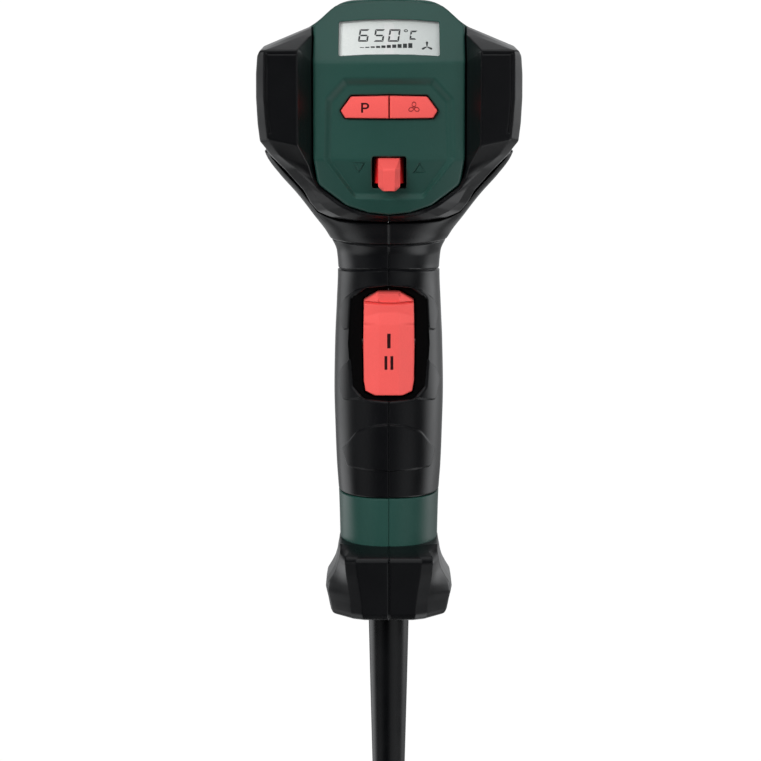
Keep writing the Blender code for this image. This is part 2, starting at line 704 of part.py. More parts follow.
def build_panel():
    panel = keep_inside(prism(mirrored(PANEL), "Y", -20, REAR_Y), slab(0.0, PANEL_WALL))
    cut(panel, keep_inside(prism(mirrored(RECESS), "Y", -20, 60), slab(-8.0, 1.2)))
    for outline in (mirrored(WINDOW), KEY_HOLE, mirrored(TOGGLE_HOLE)):
        cut(panel, prism(outline, "Y", -20, 60))
    # ears in front of the panel wall that carry the toggle's pin
    for low, high in TOGGLE_EARS:
        ear = box((-3.4, panel_y(0, low) + 1.6, low), (3.4, TOGGLE_Y + 2.6, high))
        join(panel, cut(ear, toggle_bore()))
    finish(panel, "control_panel", "green_shell", smooth=25)


def build_display():
    window = prism(mirrored(WINDOW, -GAP), "Y", -20, 60)
    keep_inside(window, slab(0.35, PANEL_WALL))
    finish(window, "display_window", "clear_window", smooth=25)
    display = box((-18.6, 0, 12.6), (18.6, 40, 25.9))
    keep_inside(display, slab(PANEL_WALL + 1.0, PANEL_WALL + 5.2))
    finish(display, "display_module", "display")


def build_keys():
    for side, name in ((-1, "program_button"), (1, "airflow_button")):
        key = prism([(side * x, z) for x, z in KEY], "Y", 0.0, KEY_BACK_Y)
        keep_inside(key, slab(-0.3, 30.0))
        join(key, side_box(side, (0.3, 17.6), (9.3, KEY_BACK_Y), (-8.4, 1.7)))
        finish(key, name, "red_key", pivot=(side * 8.0, 8.0, -3.4), smooth=25)
    finish(box((-19.0, 11.3, -9.5), (19.0, 12.7, 2.8)), "keypad_mat", "black_rubber")
    finish(box((-21.5, 13.6, -17.0), (21.5, 15.2, 11.0)), "control_board", "board")


# sections of the crest from the toggle's axis to its rear tip
TOGGLE_CREST = [
    [(-3.8, TOGGLE_Y, -20.9), (3.8, TOGGLE_Y, -20.9),
     (3.8, TOGGLE_Y, -30.6), (-3.8, TOGGLE_Y, -30.6)],
    [(-3.8, 6.6, -20.9), (3.8, 6.6, -20.9), (2.6, 7.2, -30.6), (-2.6, 7.2, -30.6)],
    [(-2.03, 2.4, -24.1), (2.03, 2.4, -24.1), (1.8, 4.0, -30.6), (-1.8, 4.0, -30.6)],
]


def build_toggle():
    """Three-way toggle for the temperature, on an upright pin."""
    toggle = rod(5.3, -30.7, -20.7, "Z", (0, TOGGLE_Y), steps=24)
    join(toggle, loft(TOGGLE_CREST))
    cut(toggle, toggle_bore())
    pivot = (0, TOGGLE_Y, TOGGLE_Z)
    finish(toggle, "temperature_toggle", "red_key", pivot=pivot, smooth=30)
    finish(rod(0.95, -34.0, -17.6, "Z", (0, TOGGLE_Y)), "toggle_pin", "steel")


# ---------------------------------------------------------------- main switch
ROCKER = [  # z, how far the surface lies in front of the handle's rear line, half width
    (-68.5, 2.6, 3.7), (-71.0, 1.9, 8.5), (-72.3, 1.3, 8.55), (-75.7, -1.9, 8.7),
    (-80.4, -0.3, 8.8), (-88.2, 0.9, 9.0), (-96.0, 1.1, 8.85), (-101.7, 0.9, 8.7),
    (-103.8, 1.3, 5.35),
]


def rocker_rod(radius, reach):
    """A rod on the rocker's axis, for its pin and its bores."""
    return rod(radius, -reach, reach, "X", ROCKER_PIVOT, steps=16)


def build_rocker():
    inner_y = ROCKER_PIVOT[0] + 2.6
    rings = []
    for z, depth, width in ROCKER:
        y = handle_value(REAR, z) + depth
        rings.append([
            (-width * 0.5, y, z), (width * 0.5, y, z), (width, y + 1.3, z),
            (width, inner_y, z), (-width, inner_y, z), (-width, y + 1.3, z),
        ])
    rocker = cut(loft(rings), rocker_rod(1.35, 30))
    finish(rocker, "rocker", "red_key", pivot=(0, *ROCKER_PIVOT), smooth=25)
    finish(rocker_rod(1.15, 11.4), "rocker_pin", "steel")


def build_switch_module():
    switch = box((-9.5, 35.4, -104.0), (9.5, 50.0, -72.0))
    for side in (-1, 1):
        ear = side_box(side, (9.4, 11.2), (24.6, 40.0), (-90.5, -83.5))
        join(switch, cut(ear, rocker_rod(1.3, 30)))
    finish(switch, "switch_module", "black_plastic")


# ---------------------------------------------------------------- fan and motor
CAN_RADIUS = 18.0
SHAFT_RADIUS = 1.5
HUB_BORE = SHAFT_RADIUS + GAP
BRACKET_HOLES, BRACKET_HOLE_RING = 6, 23.6      # count, radius of the ring they lie on
BLADES = 11
BLADE_SECTIONS = ((7.2, 0.0), (17.0, 0.20), (27.3, 0.52))   # radius, lean in radians
BLADE_HALF_THICKNESS = 0.7
BLADE_Y = (71.6, 83.6)
BLADE_TWIST = 0.18              # radians from the rear edge to the front edge


def build_motor():
    can = rod(CAN_RADIUS, 36.0, 66.0, steps=28)
    cut(can, rod(15.4, 37.4, 70.0, steps=28), rod(2.0, 20, 60))
    finish(can, "motor_can", "steel")
    cap = tube(radius=14.9, bore=2.2, start=66.4, end=69.0)
    finish(cap, "motor_end_cap", "black_plastic")
    bracket = tube(radius=29.0, bore=CAN_RADIUS + GAP, start=57.0, end=60.4, steps=28)
    for k in range(BRACKET_HOLES):
        angle = math.radians(60 * k + 30)
        centre = (BRACKET_HOLE_RING * math.cos(angle), BRACKET_HOLE_RING * math.sin(angle))
        cut(bracket, rod(4.0, 50, 70, centre=centre, steps=14))
    finish(bracket, "motor_bracket", "black_plastic")
    finish(rod(SHAFT_RADIUS, 33.0, 88.0, steps=14), "motor_shaft", "steel")
    rotor = tube(radius=13.6, bore=HUB_BORE, start=42.0, end=62.0)
    finish(rotor, "motor_rotor", "copper")


def blade(index):
    rear, front = BLADE_Y
    rings = []
    for radius, lean in BLADE_SECTIONS:
        middle = 2 * math.pi * index / BLADES + lean
        half = BLADE_HALF_THICKNESS / radius
        corners = (
            (middle - half, rear), (middle + half, rear),
            (middle + half + BLADE_TWIST, front), (middle - half + BLADE_TWIST, front),
        )
        rings.append([(radius * math.cos(a), y, radius * math.sin(a)) for a, y in corners])
    return loft(rings)


def build_impeller():
    impeller = tube(radius=8.0, bore=HUB_BORE, start=70.4, end=85.0)
    for k in range(BLADES):
        join(impeller, blade(k))
    finish(impeller, "impeller", "fan_plastic")


# ---------------------------------------------------------------- heater and outlet
# profiles turned about the barrel axis, as (radius, y)
AIR_GUIDE = [
    (27.6, 91.0), (24.2, 106.6), (22.4, 110.4), (20.6, 110.4), (22.4, 106.0), (25.9, 91.0),
]
OUTLET = [
    (20.9, 111.0), (20.9, 112.6), (NOZZLE_RADIUS, 112.6), (NOZZLE_RADIUS, NOZZLE_END_Y - 2.4),
    (NOZZLE_RADIUS + 0.9, NOZZLE_END_Y - 1.4), (NOZZLE_RADIUS + 0.9, NOZZLE_END_Y),
    (NOZZLE_RADIUS - 0.8, NOZZLE_END_Y), (NOZZLE_RADIUS - 0.8, 111.0),
]
FRONT_RING = [
    (28.0, FRONT_Y + GAP), (26.6, 163.0), (24.2, 165.4), (17.4, 165.4), (17.4, 161.4),
    (21.4, 160.4), (21.4, 144.0), (23.4, 144.0), (23.4, FRONT_Y + GAP),
]
GUARD = [
    (21.6, 165.8), (GUARD_RADIUS, 167.4), (GUARD_RADIUS, 213.0), (21.4, 216.0),
    (18.4, 216.0), (18.4, 214.4), (20.8, 213.4), (20.8, 167.6), (19.6, 165.8),
]
GUARD_SLOTS = 8
FIN_POINTS, FIN_TIP, FIN_ROOT = 36, 11.3, 5.6   # heater core outline: points and radii
COIL_RADIUS, COIL_WIRE = 12.5, 0.6              # both radii
COIL_Y = (118.0, 230.0)
COIL_TURNS, COIL_STEPS, COIL_SIDES = 9, 12, 4   # turns, steps a turn, sides of the wire


def build_heater():
    finish(turned(AIR_GUIDE, steps=28), "air_guide", "black_plastic")
    flange = tube(radius=20.2, bore=10.2, start=106.8, end=110.2, steps=28)
    finish(flange, "heater_flange", "ceramic")
    finish(turned(OUTLET, steps=32), "nozzle_tube", "nozzle_steel")
    sleeve = tube(radius=15.8, bore=14.9, start=111.4, end=236.0)
    finish(sleeve, "mica_sleeve", "mica")
    fins = []
    for k in range(FIN_POINTS):
        angle = 2 * math.pi * k / FIN_POINTS
        radius = FIN_TIP if k % 6 in (0, 1) else FIN_ROOT
        fins.append((radius * math.cos(angle), radius * math.sin(angle)))
    finish(prism(fins, "Y", 112.0, 234.0), "heater_core", "ceramic")


def build_coil():
    total = COIL_TURNS * COIL_STEPS + 1
    rings = []
    for k in range(total):
        turn = k / COIL_STEPS * 2 * math.pi
        y = COIL_Y[0] + (COIL_Y[1] - COIL_Y[0]) * k / (total - 1)
        ring = []
        for m in range(COIL_SIDES):
            angle = 2 * math.pi * m / COIL_SIDES
            radius = COIL_RADIUS + COIL_WIRE * math.cos(angle)
            along = y + COIL_WIRE * math.sin(angle)
            ring.append((radius * math.cos(turn), along, radius * math.sin(turn)))
        rings.append(ring)
    finish(loft(rings), "heating_coil", "heating_wire")
    probe = rod(0.6, 112.0, 243.0, centre=(0.0, 14.0), steps=8)
    finish(probe, "thermocouple", "steel")


def build_front():
    """Front ring that closes the two halves, and the removable heat guard."""
    finish(turned(FRONT_RING, steps=32), "front_ring", "black_plastic")
    guard = turned(GUARD, steps=32)
    for k in range(GUARD_SLOTS):
        slot = box((-2.2, 175.0, 15.0), (2.2, 205.0, 30.0))
        slot.rotation_euler = (0, math.radians(45 * k + 22.5), 0)
        cut(guard, slot)
    finish(guard, "nozzle_guard", "black_plastic", pivot=(0, 190.0, 0))


# ---------------------------------------------------------------- electrics in the handle
SINK_FINS, SINK_PITCH = 5, 4.1


def build_electrics():
    finish(box((-11.5, 36.0, -140.0), (11.5, 37.6, -107.5)), "power_board", "board")
    sink = box((-9.0, 38.0, -126.0), (9.0, 40.0, -109.0))
    for k in range(SINK_FINS):
        x = -8.2 + k * SINK_PITCH
        join(sink, box((x - 0.6, 39.0, -126.0), (x + 0.6, 46.0, -109.0)))
    finish(sink, "heat_sink", "aluminium")
    capacitor = rod(4.2, 30.4, 35.7, centre=(-4.0, -131.5), steps=18)
    finish(capacitor, "capacitor", "black_plastic")


# ---------------------------------------------------------------- cable, clamp and boot
CLAMP_FRONT_Y = CABLE_Y + 9.2
CLAMP_HEAD_Y = CLAMP_FRONT_Y + 0.1      # where the clamp screws' heads start
CLAMP_SCREW = [                         # (radius, y)
    (0.0, CLAMP_HEAD_Y + 2.0), (2.5, CLAMP_HEAD_Y + 2.0), (2.5, CLAMP_HEAD_Y + 0.2),
    (1.15, CLAMP_HEAD_Y + 0.2), (1.15, 23.0), (0.0, 22.2),
]
BOOT = [                                # (radius, z)
    (9.4, -174.6), (9.4, -178.0), (7.35, -178.0), (7.2, -187.0), (6.6, -213.0),
    (5.9, -240.0), (5.3, -262.0), (CABLE_RADIUS + 0.2, -262.6), (CABLE_RADIUS + 0.2, -174.6),
]


def build_clamp():
    width = SEAT_X[1]
    clamp = box((-width, SEAT_TOP_Y + GAP, CLAMP_Z[0]), (width, CLAMP_FRONT_Y, CLAMP_Z[1]))
    join(clamp, box((-4.6, CABLE_Y + 4.15, -152.4), (4.6, CABLE_Y + 6.2, -147.6)))
    cut(clamp, rod(CABLE_RADIUS + 0.15, -160, -140, "Z", CABLE_CENTRE, steps=20))
    cut(clamp, clamp_screw_bore(-1), clamp_screw_bore(1))
    finish(clamp, "cable_clamp", "black_plastic")
    for side, name in ((-1, "clamp_screw_1"), (1, "clamp_screw_2")):
        centre = (side * CLAMP_SCREW_X, CLAMP_SCREW_Z)
        finish(turned(CLAMP_SCREW, "Y", centre, steps=8), name, "steel")


def build_cable():
    finish(turned(BOOT, "Z", CABLE_CENTRE), "cable_boot", "cable_rubber")
    jacket = tube(CABLE_RADIUS, 2.75, -292.0, -143.0, "Z", CABLE_CENTRE, steps=20)
    finish(jacket, "power_cable", "cable_rubber")
    for x, name, material in (
        (-1.3, "core_live", "core_brown"),
        (1.3, "core_neutral", "core_blue"),
    ):
        finish(rod(1.2, -299.0, -136.5, "Z", (x, CABLE_Y), steps=10), name, material)


for build in (
    build_grip, build_intakes, build_housing, build_housing_screws, build_bumpers, build_foot,
    build_panel, build_display, build_keys, build_toggle, build_rocker, build_switch_module,
    build_motor, build_impeller, build_heater, build_coil, build_front, build_electrics,
    build_clamp, build_cable,
):
    build()
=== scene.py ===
import json
import math

import bmesh
import bpy
import numpy as np
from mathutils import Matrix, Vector


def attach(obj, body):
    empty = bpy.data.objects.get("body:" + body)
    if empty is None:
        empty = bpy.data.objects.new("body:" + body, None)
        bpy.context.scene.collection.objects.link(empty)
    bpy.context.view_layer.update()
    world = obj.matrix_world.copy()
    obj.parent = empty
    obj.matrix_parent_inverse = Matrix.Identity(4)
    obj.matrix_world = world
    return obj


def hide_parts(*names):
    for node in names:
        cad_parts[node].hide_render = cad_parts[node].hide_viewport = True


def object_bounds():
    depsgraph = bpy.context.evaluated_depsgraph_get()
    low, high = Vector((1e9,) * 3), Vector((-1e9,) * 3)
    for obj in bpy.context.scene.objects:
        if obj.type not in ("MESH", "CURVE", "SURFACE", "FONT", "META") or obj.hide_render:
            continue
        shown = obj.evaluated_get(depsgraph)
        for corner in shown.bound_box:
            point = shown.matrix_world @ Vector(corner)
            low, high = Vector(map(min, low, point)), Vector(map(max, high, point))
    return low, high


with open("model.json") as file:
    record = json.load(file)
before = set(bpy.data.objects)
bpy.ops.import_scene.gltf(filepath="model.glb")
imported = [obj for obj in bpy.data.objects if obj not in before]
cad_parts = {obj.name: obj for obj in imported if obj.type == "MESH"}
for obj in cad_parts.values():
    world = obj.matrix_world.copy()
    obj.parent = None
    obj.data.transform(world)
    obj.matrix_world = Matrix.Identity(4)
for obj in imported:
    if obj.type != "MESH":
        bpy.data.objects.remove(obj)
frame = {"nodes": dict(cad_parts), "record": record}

cad_lo, cad_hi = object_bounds()

# Lengths are in millimetres from the barrel axis (x right, y towards the outlet, z up) and are
# turned into metres in the row frame when a mesh is made.
AXIS_Z = 170.0
SEAM = 0.11
SEAM_IN = 0.02        # the halves all but touch at the bottom of the seam's groove
REAR_Y = 28.0
FRONT_Y = 152.0
CABLE_Y = 27.0
NOZZLE_R = 17.0
NOZZLE_END_Y = 250.0


# ================================================================ numbers
def smooth_table(xs, ys, x):
    """Monotone cubic through a table."""
    xs, ys = np.asarray(xs, float), np.asarray(ys, float)
    if xs[0] > xs[-1]:
        xs, ys = xs[::-1], ys[::-1]
    h = np.diff(xs)
    d = np.diff(ys) / h
    m = np.zeros_like(ys)
    m[0], m[-1] = d[0], d[-1]
    for i in range(1, len(xs) - 1):
        if d[i - 1] * d[i] > 0:
            w1, w2 = 2 * h[i] + h[i - 1], h[i] + 2 * h[i - 1]
            m[i] = (w1 + w2) / (w1 / d[i - 1] + w2 / d[i])
    x = np.clip(np.asarray(x, float), xs[0], xs[-1])
    i = np.clip(np.searchsorted(xs, x) - 1, 0, len(h) - 1)
    t = (x - xs[i]) / h[i]
    return (
        (2 * t**3 - 3 * t**2 + 1) * ys[i]
        + (t**3 - 2 * t**2 + t) * h[i] * m[i]
        + (-2 * t**3 + 3 * t**2) * ys[i + 1]
        + (t**3 - t**2) * h[i] * m[i + 1]
    )


def smoothstep(a, b, x):
    t = np.clip((np.asarray(x, float) - a) / (b - a), 0, 1)
    return t * t * (3 - 2 * t)


def sdf(x, z, outline):
    """Distance from each point to a closed outline, negative inside it."""
    x, z = np.asarray(x, float), np.asarray(z, float)
    best = np.full(x.shape, 1e9)
    odd = np.zeros(x.shape, bool)
    n = len(outline)
    for k in range(n):
        (x0, z0), (x1, z1) = outline[k], outline[(k + 1) % n]
        ex, ez = x1 - x0, z1 - z0
        ll = ex * ex + ez * ez
        if ll < 1e-12:
            continue
        t = np.clip(((x - x0) * ex + (z - z0) * ez) / ll, 0, 1)
        best = np.minimum(best, (x - x0 - t * ex) ** 2 + (z - z0 - t * ez) ** 2)
        if z0 != z1:
            hit = ((z0 > z) != (z1 > z)) & (x < x0 + (z - z0) * ex / ez)
            odd ^= hit
    d = np.sqrt(best)
    return np.where(odd, -d, d)


def filleted(points, radius, steps=5):
    """The outline with each corner turned into a curve; radius is one number or one for each corner."""
    n = len(points)
    radii = [radius] * n if np.isscalar(radius) else list(radius)
    out = []
    for k in range(n):
        p = np.array(points[k], float)
        a = np.array(points[k - 1], float) - p
        b = np.array(points[(k + 1) % n], float) - p
        la, lb = np.linalg.norm(a), np.linalg.norm(b)
        if la < 1e-6 or lb < 1e-6 or radii[k] <= 0:
            out.append(tuple(p))
            continue
        cosang = np.clip(np.dot(a, b) / la / lb, -1, 1)
        half = math.acos(cosang) / 2
        t = min(radii[k] / max(math.tan(half), 1e-3), 0.47 * la, 0.47 * lb)
        if t < 1e-3:
            out.append(tuple(p))
            continue
        p0, p1 = p + a / la * t, p + b / lb * t
        for s in range(steps + 1):
            u = s / steps
            out.append(tuple((1 - u) ** 2 * p0 + 2 * u * (1 - u) * p + u * u * p1))
    return out


def both_sides(right):
    """A closed outline from its right side, listed from the top of the centre line to the bottom."""
    return list(right) + [(-x, z) for x, z in reversed(right) if abs(x) > 1e-9]


def span_at(outline, z):
    """Lowest and highest x of an outline at height z."""
    hits = []
    n = len(outline)
    for k in range(n):
        (x0, z0), (x1, z1) = outline[k], outline[(k + 1) % n]
        if (z0 - z) * (z1 - z) <= 0 and abs(z1 - z0) > 1e-9:
            hits.append(x0 + (z - z0) / (z1 - z0) * (x1 - x0))
    return (min(hits), max(hits)) if hits else (0.0, 0.0)


def round_over(d, r):
    """How far a surface has dropped at distance d in from an edge that is rounded with radius r."""
    e = np.clip(r - np.asarray(d, float), 0, r)
    return r - np.sqrt(np.maximum(r * r - e * e, 0))


# ================================================================ meshes
def build(name, verts, faces, material, body="housing", replaces=(), sharp=32.0, clean=True):
    v = np.asarray(verts, float).copy()
    v[:, 2] += AXIS_Z
    mesh = bpy.data.meshes.new(name)
    mesh.from_pydata((v * 0.001).tolist(), [], faces)
    if clean:
        work = bmesh.new()
        work.from_mesh(mesh)
        bmesh.ops.remove_doubles(work, verts=work.verts, dist=2e-7)
        bmesh.ops.dissolve_degenerate(work, dist=1e-8, edges=work.edges)
        loose = [e for e in work.edges if not e.link_faces]
        if loose:
            bmesh.ops.delete(work, geom=loose, context="EDGES")
        bmesh.ops.recalc_face_normals(work, faces=work.faces)
        work.to_mesh(mesh)
        work.free()
    obj = bpy.data.objects.new(name, mesh)
    bpy.context.scene.collection.objects.link(obj)
    if material is not None:
        dress(obj, material, body, replaces, sharp)
    return obj


def dress(obj, material, body="housing", replaces=(), sharp=32.0):
    obj.data.materials.clear()
    obj.data.materials.append(material)
    if sharp:
        obj.data.shade_smooth()
        obj.data.set_sharp_from_angle(angle=math.radians(sharp))
    if replaces:
        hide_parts(*replaces)
    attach(obj, body)
    return obj


def loft(rings, name, material=None, wrap=False, caps=True, **kw):
    """rings is (rows, points, 3): quads between rows, and flat caps at the ends."""
    rings = np.asarray(rings, float)
    m, n = rings.shape[:2]
    v = rings.reshape(-1, 3)
    rows = m if wrap else m - 1
    i = np.arange(rows)[:, None] * n
    j = ((np.arange(rows) + 1) % m)[:, None] * n
    k = np.arange(n)[None, :]
    k1 = (k + 1) % n
    f = np.stack([i + k, i + k1, j + k1, j + k], -1).reshape(-1, 4).tolist()
    if not wrap and caps:
        f += [list(range(n)), list(range((m - 1) * n, m * n))]
    return build(name, v, f, material, **kw)


def turned(profile, name, material=None, axis="Y", centre=(0.0, 0.0), steps=96, **kw):
    """A closed (radius, along) profile turned about an axis."""
    p = np.asarray(profile, float)
    a = np.linspace(0, 2 * np.pi, steps, endpoint=False)[:, None]
    r, t = p[None, :, 0], p[None, :, 1] + 0 * a
    if axis == "Y":
        ring = np.stack([centre[0] + r * np.cos(a), t, centre[1] + r * np.sin(a)], -1)
    elif axis == "X":
        ring = np.stack([t, centre[0] + r * np.cos(a), centre[1] + r * np.sin(a)], -1)
    else:
        ring = np.stack([centre[0] + r * np.cos(a), centre[1] + r * np.sin(a), t], -1)
    return loft(ring, name, material, wrap=True, **kw)


def prism(points, axis, a, b, name="tool", material=None, **kw):
    place = {
        "Y": lambda p, t: (p[0], t, p[1]),
        "X": lambda p, t: (t, p[0], p[1]),
        "Z": lambda p, t: (p[0], p[1], t),
    }[axis]
    n = len(points)
    v = [place(p, a) for p in points] + [place(p, b) for p in points]
    f = [list(range(n)), list(range(n, 2 * n))]
    f += [[i, (i + 1) % n, n + (i + 1) % n, n + i] for i in range(n)]
    return build(name, v, f, material, **kw)


def boolean(target, tool, operation="DIFFERENCE", solver="MANIFOLD"):
    mod = target.modifiers.new("b", "BOOLEAN")
    mod.operation, mod.solver, mod.object = operation, solver, tool
    bpy.context.view_layer.update()
    graph = bpy.context.evaluated_depsgraph_get()
    result = bpy.data.meshes.new_from_object(target.evaluated_get(graph))
    target.modifiers.clear()
    if len(result.polygons) == 0 and solver == "MANIFOLD":
        return boolean(target, tool, operation, "EXACT")
    old = target.data
    target.data = result
    bpy.data.meshes.remove(old)
    bpy.data.objects.remove(tool, do_unlink=True)
    return target


def cut(target, *tools):
    for tool in tools:
        boolean(target, tool)
    return target


def rounded_ring(corners, radii, per_side=3, arc=6):
    """Turns rows of corner points (rows, n, 3) into rows of a rounded closed ring."""
    c = np.asarray(corners, float)
    n = c.shape[1]
    split = [per_side] * n if np.isscalar(per_side) else per_side
    pieces = []
    starts, ends = [], []
    for k in range(n):
        p = c[:, k]
        a, b = c[:, k - 1] - p, c[:, (k + 1) % n] - p
        la = np.linalg.norm(a, axis=1, keepdims=True) + 1e-9
        lb = np.linalg.norm(b, axis=1, keepdims=True) + 1e-9
        if radii[k] <= 0:
            starts.append(p)
            ends.append(p)
            pieces.append(p[:, None])
            continue
        half = np.arccos(np.clip(np.sum(a * b, 1, keepdims=True) / la / lb, -1, 1)) / 2
        t = np.minimum(radii[k] / np.maximum(np.tan(half), 0.05), np.minimum(0.45 * la, 0.45 * lb))
        p0, p1 = p + a / la * t, p + b / lb * t
        u = np.linspace(0, 1, arc + 1)[None, :, None]
        pieces.append((1 - u) ** 2 * p0[:, None] + 2 * u * (1 - u) * p[:, None] + u * u * p1[:, None])
        starts.append(p0)
        ends.append(p1)
    out = []
    for k in range(n):
        out.append(pieces[k])
        a, b = ends[k], starts[(k + 1) % n]
        u = (np.arange(1, split[k]) / split[k])[None, :, None]
        out.append(a[:, None] * (1 - u) + b[:, None] * u)
    return np.concatenate(out, axis=1)


def soften(rows, spacing, sigma):
    """Resamples stations (m, n, 3) evenly and rounds the corners between them."""
    rows = np.asarray(rows, float)
    step = np.linalg.norm(np.diff(rows, axis=0), axis=2).mean(1)
    s = np.concatenate([[0], np.cumsum(step)])
    count = max(int(s[-1] / spacing), 8)
    t = np.linspace(0, s[-1], count)
    out = np.empty((count,) + rows.shape[1:])
    for a in range(rows.shape[1]):
        for b in range(3):
            out[:, a, b] = np.interp(t, s, rows[:, a, b])
    if sigma > 0:
        w = sigma / (t[1] - t[0])
        half = int(3 * w) + 1
        kern = np.exp(-0.5 * (np.arange(-half, half + 1) / w) ** 2)
        kern /= kern.sum()
        # reflect about the end points, so the ends stay where they are
        head = 2 * out[0] - out[half:0:-1]
        tail = 2 * out[-1] - out[-2 : -half - 2 : -1]
        long = np.concatenate([head, out, tail])
        flat = long.reshape(len(long), -1)
        sm = np.stack([np.convolve(flat[:, c], kern, "valid") for c in range(flat.shape[1])], 1)
        out = sm.reshape(out.shape)
    return out


# ================================================================ materials
def node_material(name):
    m = bpy.data.materials.new(name)
    m.use_nodes = True
    nt = m.node_tree
    nt.nodes.clear()
    out = nt.nodes.new("ShaderNodeOutputMaterial")
    return m, nt, out


def mathn(nt, op, a, b=None, clamp=False):
    n = nt.nodes.new("ShaderNodeMath")
    n.operation, n.use_clamp = op, clamp
    for k, val in enumerate((a, b)):
        if val is None:
            continue
        if isinstance(val, (int, float)):
            n.inputs[k].default_value = val
        else:
            nt.links.new(val, n.inputs[k])
    return n.outputs[0]


def mix_rgb(nt, fac, a, b, blend="MIX"):
    n = nt.nodes.new("ShaderNodeMix")
    n.data_type, n.blend_type = "RGBA", blend
    for socket, val in ((n.inputs["Factor"], fac), (n.inputs["A"], a), (n.inputs["B"], b)):
        pass
    links = {0: fac}
    ins = [s for s in n.inputs if s.enabled]
    for s, val in zip(ins, (fac, a, b)):
        if isinstance(val, (int, float)):
            s.default_value = val
        elif isinstance(val, tuple):
            s.default_value = (*val, 1.0) if len(val) == 3 else val
        else:
            nt.links.new(val, s)
    return [s for s in n.outputs if s.enabled][0]


def ramp(nt, fac, lo, hi, a=0.0, b=1.0):
    n = nt.nodes.new("ShaderNodeMapRange")
    n.inputs["From Min"].default_value, n.inputs["From Max"].default_value = lo, hi
    n.inputs["To Min"].default_value, n.inputs["To Max"].default_value = a, b
    nt.links.new(fac, n.inputs["Value"])
    return n.outputs["Result"]


def noise(nt, coord, scale, detail=2.0, rough=0.5):
    n = nt.nodes.new("ShaderNodeTexNoise")
    n.inputs["Scale"].default_value = scale
    n.inputs["Detail"].default_value = detail
    n.inputs["Roughness"].default_value = rough
    nt.links.new(coord, n.inputs["Vector"])
    return n.outputs["Fac"]


def moulded(name, rgb, rough=0.45, grain=0.5, depth=0.012, tone=0.10, wear=0.25, edge=0.3, sheen=0.0, spec=0.5, coat=0.0, metal=0.0):
    """Moulded plastic or rubber: fine spark-eroded grain, faint flow marks, rounded and slightly polished edges."""
    m, nt, out = node_material(name)
    b = nt.nodes.new("ShaderNodeBsdfPrincipled")
    nt.links.new(b.outputs[0], out.inputs[0])
    tc = nt.nodes.new("ShaderNodeTexCoord")
    co = tc.outputs["Object"]
    fine = noise(nt, co, 1000.0 / grain, 2.0, 0.6)
    vor = nt.nodes.new("ShaderNodeTexVoronoi")
    vor.inputs["Scale"].default_value = 1000.0 / (grain * 1.7)
    nt.links.new(co, vor.inputs["Vector"])
    height = mathn(nt, "ADD", mathn(nt, "MULTIPLY", fine, 0.6), mathn(nt, "MULTIPLY", vor.outputs["Distance"], 0.5))
    broad = noise(nt, co, 38.0, 5.0, 0.62)
    patch = noise(nt, co, 160.0, 3.0, 0.6)
    bevel = nt.nodes.new("ShaderNodeBevel")
    bevel.samples = 4
    bevel.inputs["Radius"].default_value = edge * 0.001
    bump = nt.nodes.new("ShaderNodeBump")
    bump.inputs["Strength"].default_value = 1.0
    bump.inputs["Distance"].default_value = depth * 0.001
    nt.links.new(height, bump.inputs["Height"])
    nt.links.new(bevel.outputs[0], bump.inputs["Normal"])
    nt.links.new(bump.outputs[0], b.inputs["Normal"])
    geo = nt.nodes.new("ShaderNodeNewGeometry")
    dot = nt.nodes.new("ShaderNodeVectorMath")
    dot.operation = "DOT_PRODUCT"
    nt.links.new(bevel.outputs[0], dot.inputs[0])
    nt.links.new(geo.outputs["Normal"], dot.inputs[1])
    rub = ramp(nt, dot.outputs["Value"], 0.995, 0.93)
    rub = mathn(nt, "MULTIPLY", rub, ramp(nt, patch, 0.38, 0.62))
    rub = mathn(nt, "MULTIPLY", rub, wear, True)
    dark = tuple(c * (1 - tone) for c in rgb)
    light = tuple(min(1.0, c * (1 + tone)) for c in rgb)
    col = mix_rgb(nt, ramp(nt, broad, 0.35, 0.65), dark, light)
    speck = ramp(nt, fine, 0.35, 0.7)
    col = mix_rgb(nt, mathn(nt, "MULTIPLY", speck, 0.35), col, tuple(min(1.0, c * 1.25 + 0.002) for c in rgb))
    worn = tuple(min(1.0, c * 1.6 + 0.03) for c in rgb)
    col = mix_rgb(nt, rub, col, worn)
    nt.links.new(col, b.inputs["Base Color"])
    r = mathn(nt, "ADD", ramp(nt, broad, 0.3, 0.7, rough - 0.05, rough + 0.05), mathn(nt, "MULTIPLY", patch, 0.06))
    r = mathn(nt, "SUBTRACT", r, mathn(nt, "MULTIPLY", rub, 0.25), True)
    nt.links.new(r, b.inputs["Roughness"])
    b.inputs["Metallic"].default_value = metal
    b.inputs["Specular IOR Level"].default_value = spec
    if sheen:
        b.inputs["Sheen Weight"].default_value = sheen
        b.inputs["Sheen Roughness"].default_value = 0.5
    if coat:
        b.inputs["Coat Weight"].default_value = coat
        b.inputs["Coat Roughness"].default_value = 0.2
    return m


